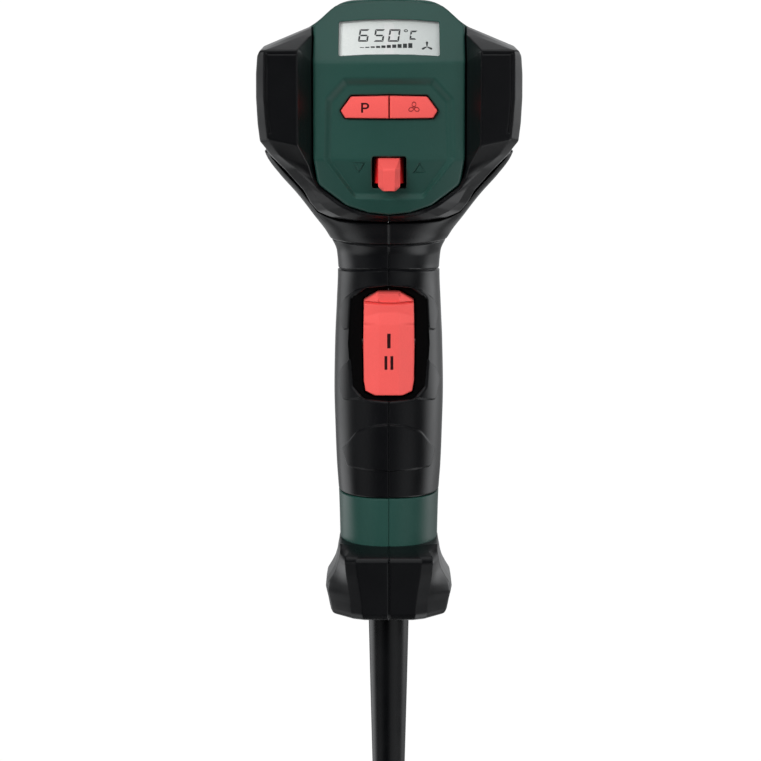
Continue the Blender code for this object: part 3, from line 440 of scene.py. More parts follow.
def brushed(name, rgb, rough=0.28, along=(1.0, 0.02, 1.0), scratch=0.006, tint=None, edge=0.2):
    """Metal with fine lines from rolling or turning, and a heat tint along Y if asked for."""
    m, nt, out = node_material(name)
    b = nt.nodes.new("ShaderNodeBsdfPrincipled")
    nt.links.new(b.outputs[0], out.inputs[0])
    tc = nt.nodes.new("ShaderNodeTexCoord")
    mp = nt.nodes.new("ShaderNodeMapping")
    mp.inputs["Scale"].default_value = along
    nt.links.new(tc.outputs["Object"], mp.inputs["Vector"])
    lines = noise(nt, mp.outputs[0], 3000.0, 3.0, 0.6)
    broad = noise(nt, tc.outputs["Object"], 55.0, 4.0, 0.6)
    bevel = nt.nodes.new("ShaderNodeBevel")
    bevel.samples = 4
    bevel.inputs["Radius"].default_value = edge * 0.001
    bump = nt.nodes.new("ShaderNodeBump")
    bump.inputs["Strength"].default_value = 1.0
    bump.inputs["Distance"].default_value = scratch * 0.001
    nt.links.new(lines, bump.inputs["Height"])
    nt.links.new(bevel.outputs[0], bump.inputs["Normal"])
    nt.links.new(bump.outputs[0], b.inputs["Normal"])
    col = mix_rgb(nt, ramp(nt, broad, 0.35, 0.65), tuple(c * 0.86 for c in rgb), rgb)
    if tint:
        sep = nt.nodes.new("ShaderNodeSeparateXYZ")
        nt.links.new(tc.outputs["Object"], sep.inputs[0])
        y = mathn(nt, "ADD", sep.outputs["Y"], mathn(nt, "MULTIPLY", mathn(nt, "SUBTRACT", broad, 0.5), 0.02))
        cr = nt.nodes.new("ShaderNodeValToRGB")
        cr.color_ramp.interpolation = "EASE"
        while len(cr.color_ramp.elements) < len(tint):
            cr.color_ramp.elements.new(0.5)
        for e, (pos, c) in zip(cr.color_ramp.elements, tint):
            e.position, e.color = pos, (*c, 1.0)
        nt.links.new(ramp(nt, y, 0.16, 0.25), cr.inputs[0])
        col = mix_rgb(nt, 0.85, col, cr.outputs[0], "MULTIPLY")
    nt.links.new(col, b.inputs["Base Color"])
    nt.links.new(ramp(nt, broad, 0.3, 0.7, rough - 0.06, rough + 0.08), b.inputs["Roughness"])
    b.inputs["Metallic"].default_value = 1.0
    return m


def mineral(name, rgb, grain=0.6, depth=0.05, rough=0.8, tone=0.15):
    return moulded(name, rgb, rough, grain, depth, tone, 0.1, 0.15, spec=0.3)


GREEN = moulded("green_shell", (0.0150, 0.0570, 0.0460), 0.38, 0.45, 0.010, 0.06, 0.10, 0.30)
RUBBER = moulded("black_rubber", (0.0027, 0.0029, 0.0036), 0.31, 0.42, 0.012, 0.10, 0.08, 0.35)
BLACK = moulded("black_plastic", (0.0029, 0.0031, 0.0038), 0.29, 0.42, 0.010, 0.10, 0.08, 0.35)
RED = moulded("red_key", (0.86, 0.105, 0.095), 0.42, 0.35, 0.006, 0.03, 0.05, 0.30)
# painted shade: a darker, deeper red copy of the red plastic for the toggle drum's sides, which lie in shadow inside
# the opening
RED_PAINTED_SHADE = moulded("red_key_painted_shade", (0.84, 0.020, 0.022), 0.42, 0.35, 0.006, 0.03, 0.05, 0.30)
MARK = moulded("key_print", (0.022, 0.0015, 0.0025), 0.50, 0.30, 0.003, 0.10, 0.0, 0.05)
# painted shade: a near-black material for the sheets that stand in for the shade inside the switch opening
OPENING_SHADE = moulded("switch_opening_painted_shade", (0.0009, 0.0009, 0.0010), 0.70, 0.60, 0.010, 0.10, 0.0, 0.20, spec=0.12)
CABLE = moulded("cable_rubber", (0.0024, 0.0026, 0.0032), 0.27, 0.60, 0.008, 0.10, 0.05, 0.30)
FAN = moulded("fan_plastic", (0.42, 0.42, 0.40), 0.48, 0.5, 0.010, 0.06, 0.1, 0.3)
BROWN = moulded("core_brown", (0.11, 0.035, 0.018), 0.40, 0.4, 0.006, 0.08, 0.0, 0.1)
BLUE = moulded("core_blue", (0.018, 0.075, 0.30), 0.40, 0.4, 0.006, 0.08, 0.0, 0.1)
BOARD = moulded("board", (0.012, 0.105, 0.035), 0.35, 1.2, 0.010, 0.20, 0.1, 0.1)
CERAMIC = mineral("ceramic", (0.74, 0.70, 0.62))
MICA = mineral("mica", (0.40, 0.30, 0.19), 1.6, 0.03, 0.5, 0.25)
STEEL = brushed("steel", (0.60, 0.59, 0.57), 0.30)
HOT_STEEL = brushed(
    "nozzle_steel", (0.66, 0.64, 0.61), 0.27, (0.02, 1.0, 0.02), 0.006,
    tint=[(0.0, (1.0, 1.0, 1.0)), (0.45, (1.0, 0.97, 0.92)), (0.68, (0.92, 0.76, 0.52)), (0.82, (0.66, 0.50, 0.52)), (1.0, (0.50, 0.55, 0.66))],
)
COPPER = brushed("copper", (0.72, 0.34, 0.18), 0.35)
WIRE = brushed("heating_wire", (0.30, 0.26, 0.24), 0.5)
ALU = brushed("aluminium", (0.70, 0.71, 0.72), 0.38)


def net_material():
    m, nt, out = node_material("filter_mesh")
    b = nt.nodes.new("ShaderNodeBsdfPrincipled")
    nt.links.new(b.outputs[0], out.inputs[0])
    tc = nt.nodes.new("ShaderNodeTexCoord")
    sep = nt.nodes.new("ShaderNodeSeparateXYZ")
    nt.links.new(tc.outputs["Object"], sep.inputs[0])
    a = mathn(nt, "ABSOLUTE", mathn(nt, "SINE", mathn(nt, "MULTIPLY", sep.outputs["Y"], 4500.0)))
    c = mathn(nt, "ABSOLUTE", mathn(nt, "SINE", mathn(nt, "MULTIPLY", sep.outputs["Z"], 4500.0)))
    grid = mathn(nt, "MAXIMUM", a, c)
    nt.links.new(mix_rgb(nt, ramp(nt, grid, 0.55, 0.95), (0.004, 0.004, 0.004), (0.05, 0.05, 0.052)), b.inputs["Base Color"])
    bump = nt.nodes.new("ShaderNodeBump")
    bump.inputs["Distance"].default_value = 0.0001
    nt.links.new(grid, bump.inputs["Height"])
    nt.links.new(bump.outputs[0], b.inputs["Normal"])
    b.inputs["Roughness"].default_value = 0.6
    return m


def window_material():
    """Thin clear moulding: lets light through to the display, with a soft surface reflection."""
    m, nt, out = node_material("clear_window")
    clear = nt.nodes.new("ShaderNodeBsdfTransparent")
    clear.inputs[0].default_value = (0.97, 0.985, 0.98, 1)
    gloss = nt.nodes.new("ShaderNodeBsdfGlossy")
    gloss.inputs["Roughness"].default_value = 0.08
    tc = nt.nodes.new("ShaderNodeTexCoord")
    n = noise(nt, tc.outputs["Object"], 220.0, 4.0, 0.6)
    nt.links.new(ramp(nt, n, 0.3, 0.7, 0.05, 0.14), gloss.inputs["Roughness"])
    fres = nt.nodes.new("ShaderNodeFresnel")
    fres.inputs["IOR"].default_value = 1.38
    mix = nt.nodes.new("ShaderNodeMixShader")
    geo = nt.nodes.new("ShaderNodeNewGeometry")
    outside = mathn(nt, "SUBTRACT", 1.0, geo.outputs["Backfacing"])
    nt.links.new(mathn(nt, "MULTIPLY", mathn(nt, "MULTIPLY", fres.outputs[0], 0.6), outside), mix.inputs[0])
    nt.links.new(clear.outputs[0], mix.inputs[1])
    nt.links.new(gloss.outputs[0], mix.inputs[2])
    nt.links.new(mix.outputs[0], out.inputs[0])
    return m


def display_material():
    """Reflective display glass: pale grey, a little lighter to one side, with a faint cell grid, and a weak painted
    glow.
    """
    m, nt, out = node_material("display")
    b = nt.nodes.new("ShaderNodeBsdfPrincipled")
    nt.links.new(b.outputs[0], out.inputs[0])
    tc = nt.nodes.new("ShaderNodeTexCoord")
    sep = nt.nodes.new("ShaderNodeSeparateXYZ")
    nt.links.new(tc.outputs["Object"], sep.inputs[0])
    g = ramp(nt, sep.outputs["X"], -0.017, 0.017)
    col = mix_rgb(nt, g, (0.72, 0.705, 0.70), (0.50, 0.50, 0.50))
    n = noise(nt, tc.outputs["Object"], 900.0, 2.0, 0.5)
    col = mix_rgb(nt, ramp(nt, n, 0.3, 0.7, 0.0, 0.12), col, (0.42, 0.43, 0.43))
    nt.links.new(col, b.inputs["Base Color"])
    nt.links.new(ramp(nt, n, 0.3, 0.7, 0.3, 0.42), b.inputs["Roughness"])
    # painted glow: a weak emission in the display's own colour brightens it, though nothing lights it from within
    nt.links.new(col, b.inputs["Emission Color"])
    b.inputs["Emission Strength"].default_value = 0.12
    return m


NET = net_material()
WINDOW = window_material()
DISPLAY = display_material()
INK = moulded("display_ink", (0.012, 0.013, 0.015), 0.5, 0.3, 0.002, 0.05, 0.0, 0.02)
SLOT_MATERIAL = {
    "green_shell": GREEN, "black_rubber": RUBBER, "black_plastic": BLACK, "red_key": RED, "clear_window": WINDOW,
    "display": DISPLAY, "board": BOARD, "steel": STEEL, "nozzle_steel": HOT_STEEL, "copper": COPPER, "ceramic": CERAMIC,
    "mica": MICA, "heating_wire": WIRE, "fan_plastic": FAN, "filter_mesh": NET, "cable_rubber": CABLE,
    "core_brown": BROWN, "core_blue": BLUE, "aluminium": ALU,
}
# pieces that stay as the CAD made them get the same detailed finishes
for part in frame["record"]["subparts"]:
    node = frame["nodes"][part["node"]]
    node.data.materials.clear()
    node.data.materials.append(SLOT_MATERIAL[part["material_slot"]])

# ================================================================ outer form
def planes(rows):
    return [((math.cos(math.radians(a)), math.sin(math.radians(a))), d) for a, d in rows]


TOWER = planes([(90, 32.2), (46.2, 34.9), (133.8, 34.9), (0, 40), (180, 40), (-90, 20)])
WINGS = planes(
    [(0, 43.4), (180, 43.4), (66.8, 31.6), (113.2, 31.6), (-35.4, 44.6), (-144.6, 44.6), (-78.7, 41.0), (-101.3, 41.0), (-90, 42.0)]
)


def p_norm_radius(rows, cx, sx, power=20.0):
    total = 0.0
    for (nx, nz), d in rows:
        total = total + np.maximum(0.0, (nx * cx + nz * sx) / d) ** power
    return total ** (-1.0 / power)


def barrel_radius(y, phi):
    c, s = np.cos(phi), np.sin(phi)
    r1, r2 = p_norm_radius(TOWER, c, s), p_norm_radius(WINGS, c, s)
    k = 2.0
    h = np.clip(0.5 + 0.5 * (r1 - r2) / k, 0, 1)
    faceted = r2 * (1 - h) + r1 * h + k * h * (1 - h)
    t = np.clip((y - 36.0) / (104.0 - 36.0), 0, 1)
    w = t * t * (3 - 2 * t)
    circle = np.interp(y, [28, 104, 152], [33.0, 30.6, 26.6])
    return faceted * (1 - w) + circle * w


HANDLE = np.array([
    (-14.0, 45.5, 18.0, 118.0, 7.0, 1.20),
    (-21.6, 42.9, 18.0, 110.0, 6.5, 1.25),
    (-28.0, 38.4, 18.1, 101.0, 5.5, 1.35),
    (-35.1, 32.3, 18.2, 90.5, 4.6, 1.55),
    (-42.3, 26.9, 18.4, 80.5, 3.8, 1.80),
    (-49.4, 21.95, 21.0, 72.8, 3.0, 2.05),
    (-56.6, 18.7, 23.6, 68.2, 2.5, 2.2),
    (-63.8, 18.2, 23.6, 66.2, 2.35, 2.25),
    (-74.4, 18.6, 22.0, 65.4, 2.35, 2.25),
    (-88.6, 19.2, 19.7, 63.6, 2.35, 2.25),
    (-104.0, 19.45, 17.2, 60.6, 2.35, 2.25),
    (-120.5, 19.0, 14.8, 57.2, 2.35, 2.25),
    (-131.2, 18.55, 13.4, 55.2, 2.35, 2.25),
    (-141.8, 17.8, 12.0, 53.4, 2.35, 2.25),
    (-157.3, 17.35, 10.2, 52.0, 2.35, 2.25),
])


def handle_point(z, theta, d=0.0):
    """x and y on the handle's skin at height z and angle theta, from the rear round the right side to the front."""
    a, yr, yf, nr, nf = (smooth_table(HANDLE[:, 0], HANDLE[:, k], z) for k in range(1, 6))
    yc = np.where(z < -60, (yr + yf) / 2, yr + (yf - yr) * (0.5 - 0.22 * np.clip((z + 60) / 34.0, 0, 1)))
    s, c = np.sin(theta), np.cos(theta)
    e = np.where(c >= 0, nr, nf)
    depth = np.where(c >= 0, yc - yr, yf - yc) - d
    x = (a - d) * np.sign(s) * np.abs(s) ** (2 / e)
    y = yc - np.sign(c) * np.abs(c) ** (2 / e) * depth
    return x, y


def handle_rear(z):
    return smooth_table(HANDLE[:, 0], HANDLE[:, 2], z)


SADDLE = [(20.0, -19.5), (58.0, -20.5), (84.0, -25.5), (106.0, -33.0), (130.0, -44.0)]
LINE_A = [(0.0, -44.3), (10.0, -44.15), (17.5, -43.5), (21.5, -42.3), (25.3, -40.6), (29.9, -33.9), (33.0, -30.4), (36.2, -27.0), (40.8, -21.7), (42.0, -20.0)]
BAND_TOP, BAND_LOW = -140.7, -156.9
NEAR_SEAM = [0.0, 0.04, 0.09, 0.15, 0.22, 0.31, 0.42, 0.56]


def seam_dip(x, r=0.4):
    """The rounded edge of each half along the seam."""
    return round_over(np.maximum(np.asarray(x, float) - SEAM_IN, 0), r)


def skin_columns(rear_step=0.25, front_step=0.6, rear=27.0, z=-90.0):
    """Distances round the skin from the rear seam to the front one, crowded at both seams."""
    total = skin_rows([z], [0.0, 1.0])[2][0]
    a = np.arange(0.72, rear, rear_step)
    b = np.linspace(a[-1], total - 0.72, int((total - 0.72 - a[-1]) / front_step))[1:]
    return np.concatenate([NEAR_SEAM, a, b, (total - np.array(NEAR_SEAM))[::-1]]), total


def skin_rows(zs, cols, total=None, d=0.0):
    """x and y on the handle's skin at each height, at distances measured round it from the rear seam."""
    zs = np.asarray(zs, float)
    u = np.linspace(0, 1, 900)
    q = np.pi / 2 * (u**3 / (u**3 + (1 - u) ** 3))
    th = np.concatenate([q, np.pi - q[::-1][1:]])
    X, Y = handle_point(zs[:, None], np.broadcast_to(th[None, :], (len(zs), len(th))), d)
    S = np.concatenate([np.zeros((len(zs), 1)), np.cumsum(np.hypot(np.diff(X, axis=1), np.diff(Y, axis=1)), 1)], 1)
    cols = np.asarray(cols, float)
    if total is None:
        return X, Y, S[:, -1]
    ramp_up = np.interp(cols, [0.0, 1.0, total - 1.0, total], [0, 0, 1, 1])
    xo, yo = np.empty((len(zs), len(cols))), np.empty((len(zs), len(cols)))
    for i in range(len(zs)):
        at = cols + (S[i, -1] - total) * ramp_up
        xo[i], yo[i] = np.interp(at, S[i], X[i]), np.interp(at, S[i], Y[i])
    return xo, yo


def along(table_z, table, z):
    """Looks up a (heights, columns) table at one height for each column; z may have many rows."""
    t = np.clip((table_z[0] - z) / (table_z[0] - table_z[1]), 0, len(table_z) - 1.0001)
    k = t.astype(int)
    f = t - k
    c = np.broadcast_to(np.arange(z.shape[1])[None, :], z.shape)
    return table[k, c] * (1 - f) + table[k + 1, c] * f


FAN_Z = np.linspace(-14.0, -46.0, 321)


def grip_top(X, Y):
    """Height where the soft grip stops: under the bumper at the rear, at the saddle line on the sides and in front."""
    limit = np.where(Y < REAR_Y - 2.0, np.interp(X, [p[0] for p in LINE_A], [p[1] for p in LINE_A]), np.interp(Y, [p[0] for p in SADDLE], [p[1] for p in SADDLE]))
    over = FAN_Z[:, None] - limit
    k = np.argmax(over <= 0, axis=0)
    c = np.arange(X.shape[1])
    a, b = over[np.maximum(k - 1, 0), c], over[k, c]
    f = np.where(k > 0, a / np.maximum(a - b, 1e-9), 0.0)
    return np.where(k > 0, FAN_Z[np.maximum(k - 1, 0)] * (1 - f) + FAN_Z[k] * f, FAN_Z[0])


# ---------------------------------------------------------------- raised pads and grooves of the grip
PAD_TOP = filleted([(0, -66.2), (6.8, -66.8), (11.9, -68.6), (15.3, -71.8), (17.6, -76.6), (16.2, -83.1), (12.6, -81.9), (0, -81.9)], [0, 2, 3, 3, 1, 0.8, 0, 0])
PAD_MID = filleted([(12.2, -91.9), (13.9, -92.6), (16.5, -96.3), (18.1, -100.5), (16.2, -107.3), (9.4, -105.8), (0, -105.8), (0, -91.9)], [0, 0.6, 3, 1, 0.8, 0, 0, 0])
PAD_LOW = filleted([(0, -114.4), (4.9, -114.9), (11.2, -117.3), (16.3, -124.5), (14.5, -130.2), (7.7, -130.5), (0, -131.0)], [0, 4, 5, 0.8, 0.8, 4, 0])
PAD_LOW[0] = (0, -114.4)
OPENING = filleted([(0, -66.6), (8.0, -67.6), (12.7, -71.5), (13.6, -87.3), (12.4, -102.2), (8.7, -106.0), (0, -106.6)], [0, 2.5, 2.0, 4, 1.2, 1.5, 0], 8)


def grip_relief(x, y, z):
    """How far the skin stands out (mm) from the plain handle form."""
    h = np.zeros_like(x)
    rear = y < 34.0
    for pad, height in ((PAD_TOP, 0.75), (PAD_MID, 0.75), (PAD_LOW, 0.70)):
        outline = [(-x0, z0) for x0, z0 in reversed(pad) if x0 > 0]
        full = list(pad) + outline if pad[0][0] == 0 else [p for p in pad if p[0] > 0] + [(0, pad[-1][1]), (0, pad[-1][1])]
        d = sdf(x, z, full)
        rise = smoothstep(0.10, -0.40, d)
        h = np.where(rear, np.maximum(h, height * rise), h)
    # ring grooves
    line_b = -52.3 + 0.6 * np.clip(np.abs(x) / 17.0, 0, 1) ** 2
    line_c = -61.1 - 1.2 * np.clip(np.abs(x) / 17.0, 0, 1) ** 2
    line_c = np.where(y > 36, -62.3 - (y - 36) * 0.06, line_c)
    for line, w, dep in ((line_b, 0.30, 0.60), (line_c, 0.30, 0.60)):
        h = h - dep * np.exp(-(((z - line) / w) ** 2))
    # the collar between the two lines stands a little lower
    h = h - 0.18 * smoothstep(0.25, -0.25, z - line_b) * smoothstep(-0.25, 0.25, z - line_c)
    # long shallow finger flats on the front of the handle
    front = y > 50
    for k in range(4):
        zc = -78.0 - 15.0 * k
        h = np.where(front, h - 0.7 * np.exp(-(((z - zc) / 5.0) ** 2)) * smoothstep(50, 58, y), h)
    return h


def normals(x, y):
    """Outward direction in plan, from the neighbouring points round the ring."""
    tx, ty = np.gradient(x, axis=1), np.gradient(y, axis=1)
    ln = np.hypot(tx, ty) + 1e-9
    return ty / ln, -tx / ln


def grip_surface():
    """The soft grip's outer and inner skins, for the right side."""
    cols, total = skin_columns()
    low = BAND_TOP + 0.35
    table = skin_rows(FAN_Z, cols, total)
    top = grip_top(*table)
    drop = np.array([0.0, 0.05, 0.11, 0.18, 0.26, 0.36, 0.48, 0.62])[:, None]
    t = np.linspace(0, 1, 56)[1:, None]
    fan_z = np.concatenate([top[None, :] - drop, (top[None, :] - 0.62) * (1 - t) + FAN_Z[-1] * t])
    rows = np.concatenate([np.arange(FAN_Z[-1] - 0.2, low + 0.9, -0.2), low + np.array([0.8, 0.66, 0.52, 0.40, 0.30, 0.20, 0.12, 0.05, 0.0])])
    x = np.concatenate([along(FAN_Z, table[0], fan_z), skin_rows(rows, cols, total)[0]])
    y = np.concatenate([along(FAN_Z, table[1], fan_z), skin_rows(rows, cols, total)[1]])
    z = np.concatenate([fan_z, np.broadcast_to(rows[:, None], (len(rows), len(cols)))])
    nx, ny = normals(x, y)
    h = grip_relief(x, y, z)
    # rounded seam edge, lower edge and upper edge, and the rim of the switch opening
    h = h - seam_dip(x)
    h = h - round_over(np.minimum(z - low, 9.0), 0.7)
    h = h - round_over(np.minimum(top[None, :] - z, 9.0), 0.5)
    full = OPENING + [(-a, b) for a, b in reversed(OPENING[1:-1])]
    h = np.where(y < 34, h - round_over(np.maximum(sdf(x, z, full), 0), 0.8), h)
    outer = np.stack([np.maximum(x + nx * h, SEAM_IN), y + ny * h, z], -1)
    pick = np.unique(np.concatenate([[0], np.linspace(8, len(cols) - 9, 26).astype(int), [len(cols) - 1]]))[::-1]
    inner_table = skin_rows(FAN_Z, cols[pick], total, 2.0)
    xi = np.concatenate([along(FAN_Z, inner_table[0], fan_z[:, pick]), skin_rows(rows, cols[pick], total, 2.0)[0]])
    yi = np.concatenate([along(FAN_Z, inner_table[1], fan_z[:, pick]), skin_rows(rows, cols[pick], total, 2.0)[1]])
    inner = np.stack([np.maximum(xi, SEAM_IN), yi, z[:, pick]], -1)
    return np.concatenate([outer, inner], 1), full


GRIP_RINGS, FULL_OPENING = grip_surface()


def grip(side, name):
    rings = GRIP_RINGS.copy()
    rings[..., 0] *= side
    obj = loft(rings, name)
    cut(obj, prism(FULL_OPENING, "Y", -10.0, 36.0))
    return obj


SCREWS = [(36.5, 25.5), (72.0, -37.5), (36.5, -37.0), (57.5, -60.5), (50.0, -116.0), (43.0, -132.5)]


def bore(r, x0, x1, y, z, steps=40):
    return turned([(0.0, x0), (r, x0), (r, x1), (0.0, x1)], "tool", None, "X", (y, z), steps)


for side, name in ((1, "grip_right"), (-1, "grip_left")):
    g = grip(side, name + "_soft")
    if side < 0:
        for y, z in SCREWS[1:]:
            cut(g, bore(3.6, -60.0, -9.4, y, z))
    dress(g, RUBBER, "housing", (name,), 30)

# ================================================================ green housing halves
def housing(side, name):
    ys = np.concatenate([REAR_Y + 0.3 + np.array([0.0, 0.05, 0.12, 0.2, 0.3, 0.42, 0.56, 0.72, 0.9, 1.2]), np.linspace(30.2, FRONT_Y - 0.8, 126), FRONT_Y - np.array([0.6, 0.45, 0.32, 0.2, 0.1, 0.04, 0.0])])
    # one column runs along the saddle line, where the skin steps down under the soft grip
    line = np.interp(ys, [p[0] for p in SADDLE], [p[1] for p in SADDLE])
    edge = np.arcsin(np.clip(line / 38.0, -0.96, 0.0))
    for _ in range(30):
        edge = np.arcsin(np.clip(line / barrel_radius(ys, edge), -0.96, 0.0))
    near = np.array(NEAR_SEAM + [0.72, 0.9, 1.1, 1.4]) / 33.0
    span = np.pi / 2 - edge[:, None]
    upper = np.concatenate([np.broadcast_to(near, (len(ys), len(near))), 0.053 + (span - 0.02 - 0.053) * np.linspace(0, 1, 100)[None, :]], 1)
    ledge = span + np.array([-0.012, -0.006, -0.002, 0.002, 0.006, 0.012])[None, :]
    rest = np.pi - span
    lower = span + 0.02 + (rest - 0.02 - near[-1] - 0.01) * np.linspace(0, 1, 40)[None, :]
    tail = np.pi - near[::-1][None, :] + 0 * span
    P = np.pi / 2 - np.concatenate([upper, ledge, lower, tail], 1)
    Y = np.broadcast_to(ys[:, None], P.shape)
    r = barrel_radius(Y, P)
    # a fine sunken line round the front, and a shallow step along the flank
    r = r - 0.35 * np.exp(-(((Y - 145.0) / 0.35) ** 2))
    z0 = r * np.sin(P)
    x0 = r * np.cos(P)
    flank = sdf(Y, z0, filleted([(78.0, 14.0), (138.0, 11.0), (138.0, -9.0), (88.0, -13.0), (78.0, -6.0)], 6.0))
    r = r - 0.55 * smoothstep(0.5, -0.7, np.where(x0 > 8, flank, 9.0))
    # below the saddle line it runs on inside the soft grip
    over = z0 - line[:, None]
    r = r - (2.6 * smoothstep(0.02, -0.35, over) + 0.25 * smoothstep(0.5, 0.0, over) ** 2) * smoothstep(112.0, 104.0, Y)
    r = r - round_over(Y - ys[0], 0.8) - round_over(ys[-1] - Y, 0.6)
    r = r - seam_dip(x0)
    outer = np.stack([np.maximum(r * np.cos(P), SEAM_IN), Y, r * np.sin(P)], -1)
    phi_in = np.linspace(np.pi / 2, -np.pi / 2, 26)[::-1]
    Yi, Pi = np.meshgrid(ys, phi_in, indexing="ij")
    ri = barrel_radius(Yi, Pi) - 3.6
    inner = np.stack([np.maximum(ri * np.cos(Pi), SEAM_IN), Yi, ri * np.sin(Pi)], -1)
    rings = np.concatenate([outer, inner], 1)
    rings[..., 0] *= side
    obj = loft(rings, name)
    # side intake window
    win = filleted([(41.0, -9.0), (63.0, -9.0), (63.0, 13.0), (41.0, 13.0)], 1.6)
    a, b = sorted((side * 20.0, side * 60.0))
    cut(obj, prism(win, "X", a, b))
    return obj


for side, name in ((1, "housing_right"), (-1, "housing_left")):
    h = housing(side, name + "_shell")
    if side < 0:
        y, z = SCREWS[0]
        cut(h, bore(3.6, -60.0, -9.4, y, z))
    dress(h, GREEN, "housing", (name,), 28)

# the bare band low on the handle, part of the same two halves
for side, name in ((1, "band_right"), (-1, "band_left")):
    cols, total = skin_columns(0.5, 0.8)
    top, low = BAND_TOP + 0.15, BAND_LOW - 1.4
    zz = np.concatenate([top - np.array([0.0, 0.04, 0.1, 0.18, 0.28, 0.4, 0.52]), np.linspace(top - 0.62, low, 44)])
    x, y = skin_rows(zz, cols, total)
    Z = np.broadcast_to(zz[:, None], x.shape)
    nx, ny = normals(x, y)
    h = -0.02 - seam_dip(x, 0.35) - round_over(top - Z, 0.5)
    outer = np.stack([np.maximum(x + nx * h, SEAM_IN), y + ny * h, Z], -1)
    pick = np.unique(np.concatenate([[0], np.linspace(8, len(cols) - 9, 20).astype(int), [len(cols) - 1]]))[::-1]
    xi, yi = skin_rows(zz, cols[pick], total, 4.6)
    inner = np.stack([np.maximum(xi, SEAM_IN), yi, Z[:, pick]], -1)
    rings = np.concatenate([outer, inner], 1)
    rings[..., 0] *= side
    loft(rings, name, GREEN, sharp=28)

# intake grilles: a frame with five slots and the bars between them
for side, name in ((1, "intake_grille_right"), (-1, "intake_grille_left")):
    def skin(y0, y1, z0, z1, d0, d1, label, n=22, m=18):
        yy, zz = np.linspace(y0, y1, n), np.linspace(z0, z1, m)
        Y, Z = np.meshgrid(yy, zz, indexing="ij")
        front, back = [], []
        P = np.arctan2(Z, 38.0)
        for _ in range(12):
            r = barrel_radius(Y, P)
            P = np.arcsin(np.clip(Z / r, -1, 1))
        r = barrel_radius(Y, P)
        X = r * np.cos(P)
        rings = []
        for i in range(n):
            f = np.stack([X[i] - d0, Y[i], Z[i]], -1)
            bk = np.stack([X[i][::-1] - d1, Y[i], Z[i][::-1]], -1)
            rings.append(np.concatenate([f, bk]))
        rings = np.array(rings)
        rings[..., 0] *= side
        return loft(rings, label)
    g = skin(41.35, 62.65, -8.65, 12.65, 0.35, 2.3, name + "_bars", 30, 26)
    for k in range(5):
        z = -6.1 + 3.55 * k
        slot = filleted([(43.4, z), (60.6, z), (60.6, z + 2.0), (43.4, z + 2.0)], 0.7)
        a, b = sorted((side * 20.0, side * 60.0))
        cut(g, prism(slot, "X", a, b))
    dress(g, BLACK, "housing", (name,), 28)
    f = skin(39.0, 65.0, -11.0, 15.0, 3.4, 4.2, "filter_" + ("right" if side > 0 else "left") + "_net", 30, 26)
    dress(f, NET, "housing", ("filter_" + ("right" if side > 0 else "left"),), 28)

